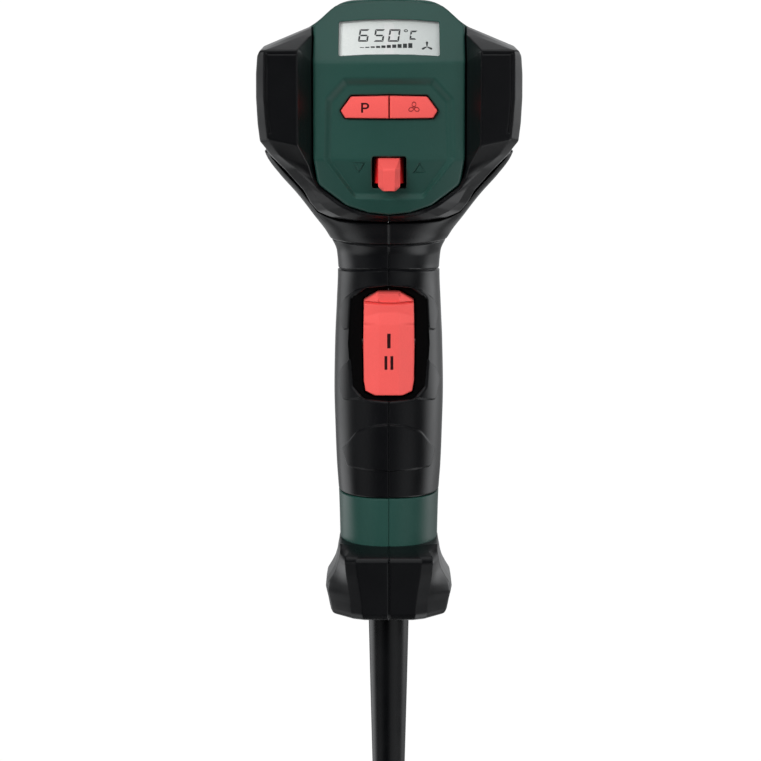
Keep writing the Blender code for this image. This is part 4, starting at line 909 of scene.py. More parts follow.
# ================================================================ bumpers
# inner edge, ridge, outer edge of the rest face, rim, back outside, back inside
BUMPER = [
    [(26.4, 15.2, 20.5), (26.55, 15.0, 20.6), (26.7, 18.5, 21.4), (26.9, 24.0, 22.7), (27.0, 28.0, 23.25), (26.4, 28.0, 22.9)],
    [(26.4, 8.0, 11.8), (30.9, 0.0, 16.15), (42.0, 0.0, 16.05), (43.6, 2.4, 15.9), (43.6, 28.0, 16.3), (26.4, 28.0, 13.5)],
    [(26.4, 7.8, 9.8), (30.9, 0.0, 13.8), (42.1, 0.0, 13.8), (44.5, 2.7, 14.0), (44.6, 28.0, 13.6), (26.4, 28.0, 11.0)],
    [(26.4, 7.6, 7.0), (30.9, 0.0, 8.0), (42.15, 0.0, 8.0), (44.95, 3.0, 8.0), (45.0, 28.0, 8.0), (26.4, 28.0, 8.0)],
    [(26.4, 7.6, 0.0), (30.9, 0.0, 0.0), (42.2, 0.0, 0.0), (45.0, 3.2, 0.0), (45.0, 28.0, 0.0), (26.4, 28.0, 0.0)],
    [(26.4, 7.6, -10.0), (30.9, 0.0, -9.0), (41.6, 0.0, -8.2), (44.55, 3.2, -8.6), (44.6, 28.0, -9.0), (26.4, 28.0, -10.0)],
    [(26.4, 7.6, -20.0), (30.9, 0.0, -16.0), (41.0, 0.0, -13.8), (43.8, 3.2, -14.6), (44.2, 28.0, -15.6), (26.4, 28.0, -16.0)],
    [(26.3, 9.2, -24.0), (27.3, 7.4, -23.6), (37.3, 4.6, -19.6), (40.4, 7.5, -19.4), (42.3, 28.0, -20.8), (26.4, 28.0, -21.0)],
    [(25.55, 10.1, -27.4), (26.2, 9.4, -28.0), (32.5, 8.6, -24.2), (35.4, 11.5, -25.1), (36.2, 28.0, -26.5), (25.0, 28.0, -26.0)],
    [(24.0, 10.9, -30.7), (24.6, 10.3, -31.5), (29.2, 10.4, -27.9), (32.4, 13.5, -28.8), (33.0, 28.0, -30.0), (23.6, 28.0, -29.0)],
    [(21.7, 11.4, -32.6), (22.2, 11.0, -33.6), (26.4, 12.2, -32.0), (29.4, 15.6, -32.4), (29.9, 28.0, -33.5), (21.4, 28.0, -31.0)],
    [(18.8, 11.6, -34.8), (19.1, 11.3, -35.9), (24.0, 13.6, -36.4), (27.0, 17.4, -36.8), (27.8, 28.0, -37.8), (18.6, 28.0, -33.0)],
    [(16.2, 11.8, -36.8), (16.4, 11.9, -38.0), (21.2, 15.0, -39.3), (24.6, 19.4, -40.1), (25.2, 28.0, -40.6), (16.2, 28.0, -35.0)],
    [(13.1, 12.0, -38.4), (13.3, 12.4, -39.6), (17.2, 15.8, -41.5), (20.0, 20.0, -42.2), (20.2, 28.0, -42.5), (13.4, 28.0, -36.6)],
    [(9.4, 12.1, -39.6), (9.4, 13.0, -40.9), (12.0, 16.2, -42.7), (14.4, 20.6, -43.5), (14.4, 28.0, -43.7), (9.6, 28.0, -37.6)],
    [(5.0, 12.1, -40.6), (5.0, 13.6, -41.8), (6.4, 16.6, -43.3), (7.6, 21.0, -43.85), (7.6, 28.0, -44.0), (5.0, 28.0, -38.3)],
    [(SEAM_IN, 12.2, -41.0), (SEAM_IN, 13.9, -42.1), (SEAM_IN, 17.0, -43.6), (SEAM_IN, 21.3, -43.95), (SEAM_IN, 28.0, -44.1), (SEAM_IN, 28.0, -38.5)],
]


def to_line(x, z, line):
    """Distance from each point to an open line."""
    best = np.full(np.shape(x), 1e9)
    for (x0, z0), (x1, z1) in zip(line[:-1], line[1:]):
        ex, ez = x1 - x0, z1 - z0
        t = np.clip(((x - x0) * ex + (z - z0) * ez) / (ex * ex + ez * ez), 0, 1)
        best = np.minimum(best, np.hypot(x - x0 - t * ex, z - z0 - t * ez))
    return best


# a fine groove follows the top and the outer edge of each rest face
REST_GROOVE = [(31.4, 14.9), (41.2, 14.9), (41.35, 8.0), (41.35, 0.0), (40.8, -8.0), (40.3, -11.5)]
for side, name in ((1, "bumper_right"), (-1, "bumper_left")):
    rows = soften(BUMPER, 0.22, 0.45)
    rows[..., 0] = np.maximum(rows[..., 0], SEAM_IN)
    rings = rounded_ring(rows, [0.25, 0.75, 0.9, 1.3, 0.4, 0.3], [5, 34, 5, 5, 5, 5], 7)
    # rounded edge at the seam
    rings[..., 0] = np.maximum(rings[..., 0], SEAM_IN)
    dip = seam_dip(rings[..., 0])
    rings[..., 1] += dip * (rings[..., 1] < 22)
    rings[..., 2] += dip * (rings[..., 2] < -43)
    flat = rings[..., 1] < 0.4
    rings[..., 1] += np.where(flat, 0.45 * np.exp(-((to_line(rings[..., 0], rings[..., 2], REST_GROOVE) / 0.30) ** 2)), 0.0)
    rings[..., 0] *= side
    loft(rings, name + "_rubber", RUBBER, replaces=(name,), sharp=34)

# ================================================================ foot
FOOT = [
    (-157.1, 17.5, 10.0, 8.0, 52.3, 12.6),
    (-158.3, 17.65, 3.6, 10.2, 52.8, 7.0),
    (-159.2, 17.8, 0.9, 11.2, 53.2, 3.3),
    (-160.6, 18.1, 0.0, 11.6, 54.0, 1.8),
    (-162.2, 18.3, 0.0, 11.4, 54.6, 1.8),
    (-164.8, 19.05, 0.0, 11.1, 55.3, 1.8),
    (-167.2, 20.3, 0.0, 10.7, 56.0, 1.8),
    (-169.6, 21.8, 0.0, 10.3, 56.3, 1.8),
    (-172.6, 22.35, 0.0, 9.9, 56.4, 1.8),
    (-175.6, 21.6, 0.0, 9.5, 56.2, 1.8),
    (-179.3, 20.9, 0.0, 9.3, 55.4, 1.8),
    (-180.9, 20.2, 0.7, 9.0, 54.6, 2.4),
    (-181.6, 18.4, 2.2, 8.4, 53.0, 3.9),
]


def foot_rows():
    rows = []
    for z, w, yr, c, yf, bev in FOOT:
        # the last number is where the bevel beside the rear face ends
        rows.append([
            (SEAM_IN, yr, z), (c, yr, z), (c + 3.9, bev if bev > 2.4 else yr + 1.8, z), (w - 0.6, yr * 0.5 + 8.6, z), (w, 16.0, z), (w, 31.0, z),
            (w * 0.92, 42.0, z), (w * 0.70, yf - 4.2, z), (w * 0.38, yf - 0.7, z), (SEAM_IN, yf, z),
        ])
    return np.array(rows)


for side, name in ((1, "foot_right"), (-1, "foot_left")):
    rows = soften(foot_rows(), 0.4, 0.35)
    rings = rounded_ring(rows, [0.25, 0.9, 1.2, 2.6, 2.5, 3.0, 4.0, 5.0, 5.0, 0.25], [26, 4, 4, 4, 4, 4, 4, 4, 20, 4], 6)
    rings[..., 1] += seam_dip(rings[..., 0]) * np.where(rings[..., 1] < 25, 1, -1)
    rings[..., 0] = np.maximum(rings[..., 0], SEAM_IN) * side
    f = loft(rings, name + "_cap")
    cut(f, turned([(0, -190.0), (7.7, -190.0), (7.7, -176.0), (0, -176.0)], "tool", None, "Z", (0, CABLE_Y), 64))
    dress(f, BLACK, "housing", (name,), 30)

# ================================================================ control panel
PANEL = [(0, 32.2), (10.35, 31.5), (18.3, 30.3), (20.3, 28.8), (24.3, 25.2), (25.9, 23.5), (25.9, 11.8), (25.9, -20.7), (24.4, -30.0), (14.5, -37.5), (6.9, -40.0), (0, -40.7)]
PANEL = both_sides(filleted(PANEL, [0, 6, 1.5, 1.5, 1.2, 1.0, 0, 2.5, 4.0, 5.0, 6.0, 0]))
RECESS_OUT = both_sides(filleted([(0, 6.7), (15.55, 6.7), (21.9, -0.45), (22.5, -20.9), (11.8, -35), (0, -35.5)], [0, 1.2, 1.5, 1.5, 2.0, 0]))
RECESS_IN = both_sides(filleted([(0, 4.1), (13.9, 3.8), (19.3, -2), (19.9, -21.3), (11.8, -33.1), (0, -32.9)], [0, 1.0, 1.2, 1.2, 1.6, 0]))
KEYS = both_sides(filleted([(0, 0.95), (13.1, 0.7), (16.95, -4.6), (15.15, -7.5), (0, -7.6)], [0, 1.4, 0.9, 0.9, 0]))
WINDOW_HOLE = both_sides(filleted([(0, 25.85), (8.0, 25.65), (17.2, 24.95), (17.2, 13.7), (8.0, 14.2), (0, 14.3)], [0, 12, 0.7, 0.7, 12, 0]))
TOGGLE_HOLE = both_sides(filleted([(0, -20.1), (5.85, -20.1), (5.85, -31.3), (0, -31.3)], [0, 0.9, 0.9, 0]))

_bz = np.linspace(-60, 60, 4801)
_by = np.where(_bz > 11.9, 5.5 + (_bz - 11.9) * 1.04, np.where(_bz > -21.3, 4.6 + (_bz + 21.3) * 0.9 / 33.2, 4.6 + (-21.3 - _bz) * 0.386))
_k = np.exp(-0.5 * (np.arange(-60, 61) / 18.0) ** 2)
_by = np.convolve(np.pad(_by, 60, "edge"), _k / _k.sum(), "valid")


def panel_y(x, z):
    return np.interp(z, _bz, _by) + np.asarray(x, float) ** 2 / 220.0


def panel_skin(x, z):
    y = panel_y(x, z)
    do, di = sdf(x, z, RECESS_OUT), sdf(x, z, RECESS_IN)
    t = np.where(do >= 0, 0.0, np.where(di <= 0, 1.0, -do / np.maximum(-do + di, 1e-6)))
    t = np.where((do < 0) & (di > 0), 0.5 - 0.5 * np.cos(np.pi * t) * 0.35 - 0.325 * (1 - 2 * t), t)
    y = y + 1.7 * np.clip(t, 0, 1)
    y = y + round_over(-sdf(x, z, PANEL), 0.9)
    for hole, r in ((KEYS, 0.35), (WINDOW_HOLE, 0.40), (TOGGLE_HOLE, 0.45)):
        y = y + round_over(np.maximum(sdf(x, z, hole), 0), r)
    return y


def make_panel():
    zs = np.concatenate([
        [32.19, 32.15, 32.08, 31.98, 31.85, 31.7, 31.5, 31.25, 31.0, 30.75, 30.5, 30.2, 29.9, 29.6, 29.3],
        np.arange(29.0, -40.0, -0.24),
        [-40.05, -40.2, -40.35, -40.48, -40.58, -40.66, -40.69],
    ])
    n = 190
    u = np.linspace(-1, 1, n)
    u = np.sign(u) * (1 - (1 - np.abs(u)) ** 1.12)
    rings = []
    for z in zs:
        lo, hi = span_at(PANEL, z)
        x = u * hi
        zz = np.full(n, z)
        y = panel_skin(x, zz)
        back = y[[0, -1]].max() + 1.8
        back = min(back, REAR_Y)
        y = np.minimum(y, REAR_Y - 0.3)
        ring = [(a, b, z) for a, b in zip(x, y)] + [(hi, max(back, y[-1] + 0.2), z), (-hi, max(back, y[0] + 0.2), z)]
        rings.append(ring)
    obj = loft(rings, "control_panel_face")
    cut(obj, prism(KEYS, "Y", -20, 60), prism(WINDOW_HOLE, "Y", -20, 60), prism(TOGGLE_HOLE, "Y", -20, 60))
    # engraved arrows beside the toggle: down on the left, up on the right
    for cx, flip in ((-10.3, -1), (10.45, 1)):
        cz = -24.1
        tri = [(cx - 2.15, cz - 1.75 * flip), (cx + 2.15, cz - 1.75 * flip), (cx, cz + 1.75 * flip)]
        def grow(k):
            gx, gz = sum(p[0] for p in tri) / 3, sum(p[1] for p in tri) / 3
            return [(gx + (x - gx) * k, gz + (z - gz) * k) for x, z in tri]
        yb = float(panel_skin(np.array([cx]), np.array([cz]))[0])
        outer, inner = grow(1.12), grow(0.72)
        v, f = [], []
        slope = 0.386
        for depth in (-3.0, 0.28):
            for ring in (outer, inner):
                v += [(x, yb + depth + slope * (cz - z), z) for x, z in ring]
        for k in range(3):
            j = (k + 1) % 3
            f += [[k, j, 3 + j, 3 + k], [6 + k, 9 + k, 9 + j, 6 + j], [k, 6 + k, 6 + j, j], [3 + k, 3 + j, 9 + j, 9 + k]]
        cut(obj, build("tool", v, f, None))
    return obj


panel = make_panel()
dress(panel, GREEN, "housing", ("control_panel",), 26)


def patch(outline, near, far, name, material, rows=70, cols=120, dish=0.0, edge=0.3, **kw):
    """A piece with the panel's own curve: its front at depth near behind the panel's plain surface, its back at far."""
    zs = [p[1] for p in outline]
    top, low = max(zs), min(zs)
    t = 0.5 - 0.5 * np.cos(np.linspace(0.0, np.pi, rows))
    rings = []
    for k, z in enumerate(top + (low - top) * t):
        z = min(max(z, low + 1e-4), top - 1e-4)
        lo, hi = span_at(outline, z)
        x = lo + (hi - lo) * (0.5 - 0.5 * np.cos(np.linspace(0, np.pi, cols)))
        zz = np.full(cols, z)
        y = panel_y(x, zz) + near + round_over(np.maximum(-sdf(x, zz, outline), 0), edge)
        yb = panel_y(x[[0, -1]], zz[[0, -1]]) + far
        rings.append([(a, b, z) for a, b in zip(x, y)] + [(x[-1], yb[1], z), (x[0], yb[0], z)])
    return loft(rings, name, material, **kw)


inset = [(x * (17.0 / 17.2), 19.75 + (z - 19.75) * 0.972) for x, z in WINDOW_HOLE]
patch(inset, 0.30, 1.3, "display_window_clear", WINDOW, 30, 60, replaces=("display_window",), sharp=26)
patch(both_sides([(0, 27.0), (18.2, 27.0), (18.2, 12.8), (0, 12.8)]), 2.6, 6.5, "display_glass", DISPLAY, 40, 60, edge=0.1, replaces=("display_module",), sharp=26)


def on_display(points, name, thick=0.05):
    """A thin dark figure on the display's surface."""
    n = len(points)
    x, z = np.array([p[0] for p in points]), np.array([p[1] for p in points])
    y = panel_y(x, z) + 2.6
    v = [(a, b - thick, c) for a, b, c in zip(x, y, z)] + [(a, b + 0.03, c) for a, b, c in zip(x, y, z)]
    f = [list(range(n)), list(range(n, 2 * n))] + [[i, (i + 1) % n, n + (i + 1) % n, n + i] for i in range(n)]
    return build(name, v, f, INK, sharp=0)


def digit(x0, x1, z0, z1, segments, name):
    """Seven segments in a slanted box; w is the stroke."""
    lean, w, g = 0.16, 0.66, 0.07
    zm = (z0 + z1) / 2

    def place(x, z):
        return (x + (z - zm) * lean, z)

    k = w / 2
    spots = {
        "a": [(x0 + g, z1), (x1 - g, z1), (x1 - w, z1 - w * 0.8), (x0 + w, z1 - w * 0.8)],
        "d": [(x0 + g, z0), (x0 + w, z0 + w * 0.8), (x1 - w, z0 + w * 0.8), (x1 - g, z0)],
        "g": [(x0 + g + k, zm), (x0 + w, zm + w * 0.4), (x1 - w, zm + w * 0.4), (x1 - g - k, zm), (x1 - w, zm - w * 0.4), (x0 + w, zm - w * 0.4)],
        "f": [(x0, z1 - g), (x0, zm + g), (x0 + w * 0.9, zm + w * 0.55), (x0 + w * 0.9, z1 - w * 0.95)],
        "e": [(x0, zm - g), (x0, z0 + g), (x0 + w * 0.9, z0 + w * 0.95), (x0 + w * 0.9, zm - w * 0.55)],
        "b": [(x1, z1 - g), (x1 - w * 0.9, z1 - w * 0.95), (x1 - w * 0.9, zm + w * 0.55), (x1, zm + g)],
        "c": [(x1, zm - g), (x1 - w * 0.9, zm - w * 0.55), (x1 - w * 0.9, z0 + w * 0.95), (x1, z0 + g)],
    }
    for s in segments:
        on_display([place(x, z) for x, z in spots[s]], name + "_" + s)


digit(-10.35, -6.95, 18.35, 22.45, "acdefg", "figure_hundreds")
digit(-5.05, -1.65, 18.35, 22.45, "acdfg", "figure_tens")
digit(-0.15, 3.65, 18.35, 22.45, "abcdef", "figure_units")
digit(7.15, 9.55, 19.0, 22.0, "adef", "figure_unit_mark")
ringlet = []
for k in range(20):
    a = 2 * math.pi * k / 20
    ringlet.append((5.75 + 0.72 * math.cos(a), 21.95 + 0.46 * math.sin(a)))
inner_ring = [(5.75 + (x - 5.75) * 0.55, 21.95 + (z - 21.95) * 0.45) for x, z in ringlet]
v, f = [], []
for depth in (-0.05, 0.03):
    for ring in (ringlet, inner_ring):
        v += [(x, float(panel_y(x, z)) + 2.6 + depth, z) for x, z in ring]
for k in range(20):
    j = (k + 1) % 20
    f += [[k, j, 20 + j, 20 + k], [40 + k, 60 + k, 60 + j, 40 + j], [k, 40 + k, 40 + j, j], [20 + k, 20 + j, 60 + j, 60 + k]]
build("degree_mark", v, f, INK, sharp=0)
for k in range(10):
    x0 = -9.95 + 1.83 * k
    hgt = 0.22 + (1.55 - 0.22) * (k / 9.0) ** 1.0
    on_display([(x0, 16.35), (x0 + 1.40, 16.35), (x0 + 1.40, 16.35 + hgt), (x0, 16.35 + hgt)], "air_bar_%d" % k)
for k in range(3):
    a = math.radians(90 + 120 * k)
    blade = []
    for r, da in ((0.2, -0.9), (0.9, -0.34), (1.85, -0.21), (2.05, 0.0), (1.85, 0.21), (0.9, 0.30), (0.2, 0.9)):
        blade.append((12.9 + r * math.cos(a + da), 16.75 + 0.84 * r * math.sin(a + da)))
    on_display(blade, "fan_mark_%d" % k)

# ================================================================ keys
KEY_BODY = {"program_button": "program_key", "airflow_button": "airflow_key"}


def key(side, name):
    outline = filleted([(0.22, 0.5), (12.9, 0.2), (16.45, -4.6), (14.9, -7.0), (0.22, -7.1)], [0.15, 1.4, 0.8, 0.8, 0.15], 6)
    rows, cols = 64, 110
    top, low = 0.5, -7.1
    rings = []
    for t in 0.5 - 0.5 * np.cos(np.linspace(0.0, np.pi, rows)):
        z = min(max(top + (low - top) * t, low + 1e-3), top - 1e-3)
        lo, hi = 0.2, span_at(outline, z)[1]
        x = lo + (hi - lo) * (0.5 - 0.5 * np.cos(np.linspace(0, np.pi, cols)))
        zz = np.full(cols, z)
        d = np.maximum(-sdf(x, zz, outline), 0)
        y = panel_y(x, zz) - 0.25 + round_over(d, 0.45)
        # a shallow crown
        y = y - 0.15 * np.sin(np.pi * np.clip((zz - low) / (top - low), 0, 1))
        rings.append([(side * a, b, z) for a, b in zip(x, y)] + [(side * x[-1], 9.2, z), (side * x[0], 9.2, z)])
    return loft(rings, name + "_cap", RED, body=KEY_BODY[name], replaces=(name,), sharp=30)


def key_face(x, z):
    return panel_y(x, z) - 0.25 - 0.15 * np.sin(np.pi * np.clip((z + 7.1) / 7.6, 0, 1))


def drape(outer, inner, face, proud, sunk=0.03, size=0.35):
    """Points and faces of a thin figure lying on a face: fine triangles between the outer ring and an optional hole."""
    work = bmesh.new()
    edges = []
    for ring in (outer, inner):
        if ring:
            vs = [work.verts.new((x, 0.0, z)) for x, z in ring]
            edges += [work.edges.new((vs[i], vs[(i + 1) % len(vs)])) for i in range(len(vs))]
    bmesh.ops.triangle_fill(work, use_beauty=True, use_dissolve=False, edges=edges)
    for _ in range(6):
        long = [e for e in work.edges if e.calc_length() > size]
        if not long:
            break
        bmesh.ops.subdivide_edges(work, edges=long, cuts=1, use_grid_fill=False)
        bmesh.ops.triangulate(work, faces=list(work.faces))
    top = {}
    verts, faces = [], []
    for v in work.verts:
        top[v] = len(verts)
        verts.append((v.co.x, float(face(v.co.x, v.co.z)) - proud, v.co.z))
    n = len(verts)
    verts += [(x, y + proud + sunk, z) for x, y, z in verts]
    for f in work.faces:
        k = [top[v] for v in f.verts]
        faces += [k, [n + i for i in reversed(k)]]
    for e in work.edges:
        if len(e.link_faces) == 1:
            i, j = top[e.verts[0]], top[e.verts[1]]
            faces.append([i, j, n + j, n + i])
    work.free()
    return verts, faces


def printed(figures, name, face, body, material=MARK, proud=0.03):
    """Thin print that follows a face: one object from several figures, each an outer ring or (outer, inner)."""
    for k, figure in enumerate(figures):
        outer, inner = figure if isinstance(figure, tuple) else (figure, None)
        verts, faces = drape(outer, inner, face, proud)
        label = name if len(figures) == 1 else "%s_%d" % (name, k + 1)
        build(label, verts, faces, material, body=body, sharp=0)


key(-1, "program_button")
key(1, "airflow_button")
# letter on the left key: an upright with a bowl, drawn as one figure with its counter
px, pz, ph, st = -9.5, -5.15, 3.35, 0.66
bowl_x, bowl_r = px + 1.55, 1.06
letter = [(px, pz), (px + st, pz), (px + st, pz + ph - 2.12)]
letter += [(bowl_x + 1.15 * math.sin(math.pi * k / 14), pz + ph - bowl_r - bowl_r * math.cos(math.pi * k / 14)) for k in range(15)]
letter += [(px, pz + ph)]
counter = [(px + st, pz + ph - 1.56), (px + st, pz + ph - 0.56)]
counter += [(bowl_x + 0.50 * math.sin(math.pi * k / 10), pz + ph - bowl_r + 0.5 * math.cos(math.pi * k / 10)) for k in range(11)]
printed([(letter, counter)], "key_letter", key_face, "program_key")
# fan outline on the right key: three petals
FAINT = moulded("key_outline_print", (0.28, 0.018, 0.020), 0.5, 0.3, 0.003, 0.05, 0.0, 0.05)
petals = []
for k in range(3):
    a = math.radians(90 + 120 * k)
    cx, cz = 8.4 + 1.12 * math.cos(a), -3.45 + 1.12 * math.sin(a)
    out_ring, in_ring = [], []
    for s in range(24):
        b = 2 * math.pi * s / 24
        lx, lz = 0.98 * math.cos(b), 0.80 * math.sin(b)
        gx, gz = lx * math.cos(a) - lz * math.sin(a), lx * math.sin(a) + lz * math.cos(a)
        out_ring.append((cx + gx, cz + gz))
        in_ring.append((cx + gx * 0.66, cz + gz * 0.58))
    petals.append((out_ring, in_ring))
hub_out = [(8.4 + 0.42 * math.cos(2 * math.pi * s / 16), -3.45 + 0.42 * math.sin(2 * math.pi * s / 16)) for s in range(16)]
hub_in = [(8.4 + (x - 8.4) * 0.5, -3.45 + (z + 3.45) * 0.5) for x, z in hub_out]
printed(petals + [(hub_out, hub_in)], "key_fan_outline", key_face, "airflow_key", FAINT, 0.018)

# ================================================================ temperature toggle
def toggle():
    zs = [-20.75, -22.4, -24.2, -28.0, -30.2, -31.6]
    rows = []
    for z in zs:
        wb = np.interp(z, [-31.7, -30.5, -20.7], [2.25, 3.75, 3.8])
        wc = np.interp(z, [-31.6, -24.2, -20.7], [1.78, 2.03, 3.7])
        yc = np.interp(z, [-31.7, -24.2, -20.75], [3.6, 2.6, 7.6])
        yb = np.interp(z, [-31.7, -30.0, -24.2, -20.7], [5.0, 4.5, 4.4, 8.3])
        rows.append([(-wb, yb, z), (-wc, yc, z), (wc, yc, z), (wb, yb, z), (wb, 11.5, z), (-wb, 11.5, z)])
    rows = soften(rows, 0.25, 0.22)
    rings = rounded_ring(rows, [0.2, 0.35, 0.35, 0.2, 0, 0], 4, 6)
    t = loft(rings, "temperature_toggle_cap")
    front = [(5.3 * math.cos(a), 13.8 + 5.3 * math.sin(a)) for a in np.linspace(-math.pi, 0.0, 48)]
    back = [(5.3 * math.cos(a), 13.8 + 5.3 * math.sin(a)) for a in np.linspace(0.0, math.pi, 24)[1:-1]]
    boolean(t, prism(front + back, "Z", -29.6, -20.95), "UNION")
    cut(t, turned([(0.0, -40.0), (1.0, -40.0), (1.0, -10.0), (0.0, -10.0)], "tool", None, "Z", (0, 13.8), 32))
    t = dress(t, RED, "toggle", ("temperature_toggle",), 34)
    # the drum's faces that lie deep in the opening take the darker red copy: painted shade on the same red plastic
    t.data.materials.append(RED_PAINTED_SHADE)
    for face in t.data.polygons:
        deep = all(t.data.vertices[i].co.y > 0.0083 for i in face.vertices)
        face.material_index = 1 if deep else 0
    return t


toggle()

# ================================================================ rocker switch
ROCKER_OUTLINE = filleted([(0, -69.0), (3.8, -69.0), (8.75, -71.9), (8.9, -80.0), (9.0, -88.2), (8.8, -100.0), (8.2, -103.4), (4.9, -104.85), (0, -104.85)], [0, 0.5, 0.45, 3, 6, 3, 0.45, 0.5, 0], 5)
ROCKER_OUTLINE = both_sides(ROCKER_OUTLINE)


def rocker_face(x, z):
    """A lip, a groove below it, a thumb ridge, then the long face; all but the groove have a middle facet and two side ones."""
    x, z = np.asarray(x, float), np.asarray(z, float)
    ax = np.abs(x)
    side = np.clip((ax - 3.5) / 5.0, 0, 1)
    groove = -72.95 + 0.45 * np.clip(ax / 8.0, 0, 1) ** 1.5
    ridge = -75.9 - 1.3 * np.clip((ax - 3.5) / 4.2, 0, 1)
    crease = -80.25 - 1.15 * side
    knots = [
        (-68.0 + 0 * z, 1.2), (-69.6 + 0 * z, 0.9), (groove + 0.62, -0.35), (groove + 0.48, -0.20), (groove + 0.20, 1.20), (groove - 0.12, 1.20), (groove - 0.42, 0.10),
        (ridge + 0.12, 0.50), (ridge - 0.12, 0.50), (crease + 0.12, -0.05), (crease - 0.12, -0.03), (-88.2 + 0 * z, 0.38), (-96.0 + 0 * z, 0.70), (-106.0 + 0 * z, 1.15),
    ]
    prof = np.full(z.shape, knots[-1][1], float)
    for (za, da), (zb, db) in zip(knots[:-1], knots[1:]):
        t = (za - z) / np.maximum(za - zb, 1e-6)
        prof = np.where((t >= 0) & (t < 1), da + (db - da) * t, prof)
    prof = np.where(z > knots[0][0], knots[0][1], prof)
    dish = np.interp(z, [-72.35, -69.5, -69.0], [0.85, -0.25, 0.9]) - prof
    prof = prof + np.where((z > groove + 0.55) & (z < -69.0), dish, 0.0) * np.clip((3.9 - ax) / 0.4, 0, 1)
    slope = np.interp(z, [-80.5, -79.5, -73.2, -72.6], [0.26, 0.14, 0.14, 0.24])
    facet = slope * np.sqrt(np.maximum(ax - 3.5, 0) ** 2 + 0.01) - slope * 0.1
    return handle_rear(z) + prof + np.where(ax > 3.5, facet, 0.0)


def rocker():
    rows, cols = 220, 120
    top, low = -69.0, -104.85
    zs = np.linspace(top - 0.01, low + 0.01, rows)
    zs = np.concatenate([top - np.array([0.002, 0.05, 0.12]), zs[1:-1], low + np.array([0.12, 0.05, 0.002])])
    zs = np.sort(zs)[::-1]
    rings = []
    for z in zs:
        lo, hi = span_at(ROCKER_OUTLINE, z)
        u = np.linspace(-1, 1, cols)
        x = hi * np.sign(u) * (1 - (1 - np.abs(u)) ** 1.35)
        zz = np.full(cols, z)
        y = rocker_face(x, zz) + round_over(np.maximum(-sdf(x, zz, ROCKER_OUTLINE), 0), 0.55)
        back = 30.0
        rings.append([(a, b, z) for a, b in zip(x, y)] + [(hi, back, z), (-hi, back, z)])
    return loft(rings, "rocker_cap", RED, body="rocker", replaces=("rocker",), sharp=40)


rocker()


def bar(x0, x1, z0, z1):
    return filleted([(x0, z0), (x1, z0), (x1, z1), (x0, z1)], 0.12, 3)


printed([bar(-0.6, 0.6, -88.3, -83.2)], "rocker_mark_one", rocker_face, "rocker", MARK, 0.03)
printed([bar(-1.54, -0.54, -95.8, -91.0), bar(0.54, 1.54, -95.8, -91.0)], "rocker_mark_two", rocker_face, "rocker", MARK, 0.03)

# dark liner of the switch opening, and the plate behind it that leaves room for the rocker alone: near-black sheets
# that paint the shade inside the opening
liner = [(x * 1.06, -86.6 + (z + 86.6) * 1.075) for x, z in FULL_OPENING]
inner_liner = [(x * 1.01, -86.6 + (z + 86.6) * 1.045) for x, z in FULL_OPENING]
v, f = [], []
n = len(liner)
for deep in (False, True):
    for ring in (liner, inner_liner):
        v += [(x, 33.8 if deep else float(handle_rear(z)) + 2.05 + x * x * 0.012, z) for x, z in ring]
for i in range(n):
    j = (i + 1) % n
    f += [[i, j, n + j, n + i], [2 * n + i, 3 * n + i, 3 * n + j, 2 * n + j], [i, 2 * n + i, 2 * n + j, j], [n + i, n + j, 3 * n + j, 3 * n + i]]
build("switch_opening_shade_liner", v, f, OPENING_SHADE, sharp=30)
shield = prism(inner_liner, "Y", 0.0, 0.9, "switch_opening_shade_plate")
cut(shield, prism([(x * 1.06, -87.4 + (z + 87.4) * 1.05) for x, z in ROCKER_OUTLINE], "Y", -5.0, 5.0))
for vert in shield.data.vertices:
    vert.co.y += 0.0234 + (vert.co.z - (AXIS_Z - 86.6) * 0.001) * 0.158
dress(shield, OPENING_SHADE, "housing", (), 30)

# ================================================================ front: outlet, ring, guard, heater
turned(
    [(16.2, 111.0), (NOZZLE_R, 111.0), (NOZZLE_R, 247.2), (17.25, 247.9), (17.75, 248.3), (17.95, 248.9), (17.9, 249.5), (17.5, 249.95), (17.0, 250.0),
     (16.55, 249.8), (16.3, 249.3), (16.2, 248.6)],
    "outlet_tube", HOT_STEEL, steps=128, replaces=("nozzle_tube",), sharp=40)
turned([(17.2, 111.0), (20.7, 111.0), (20.9, 111.3), (20.9, 112.2), (20.6, 112.5), (17.2, 112.5)], "outlet_flange", HOT_STEEL, steps=96)
ring_profile = filleted(
    [(28.0, FRONT_Y + 0.3), (26.8, 162.4), (24.4, 165.4), (17.5, 165.4), (17.5, 161.4), (21.4, 160.4), (21.4, 144.0), (23.4, 144.0), (23.4, FRONT_Y + 0.3)],
    [0.5, 1.6, 1.2, 0.4, 0.2, 0.2, 0.2, 0.2, 0.2], 6)
ring = turned(ring_profile, "front_ring_collar", steps=160)
for k in range(12):
    a = math.radians(30 * k)
    tool = turned([(0.0, 150.0), (1.5, 150.0), (1.5, 160.5), (1.1, 161.4), (0.0, 161.8)], "tool", None, "Y", (28.6 * math.cos(a), 28.6 * math.sin(a)), 24)
    cut(ring, tool)
dress(ring, BLACK, "housing", ("front_ring",), 30)

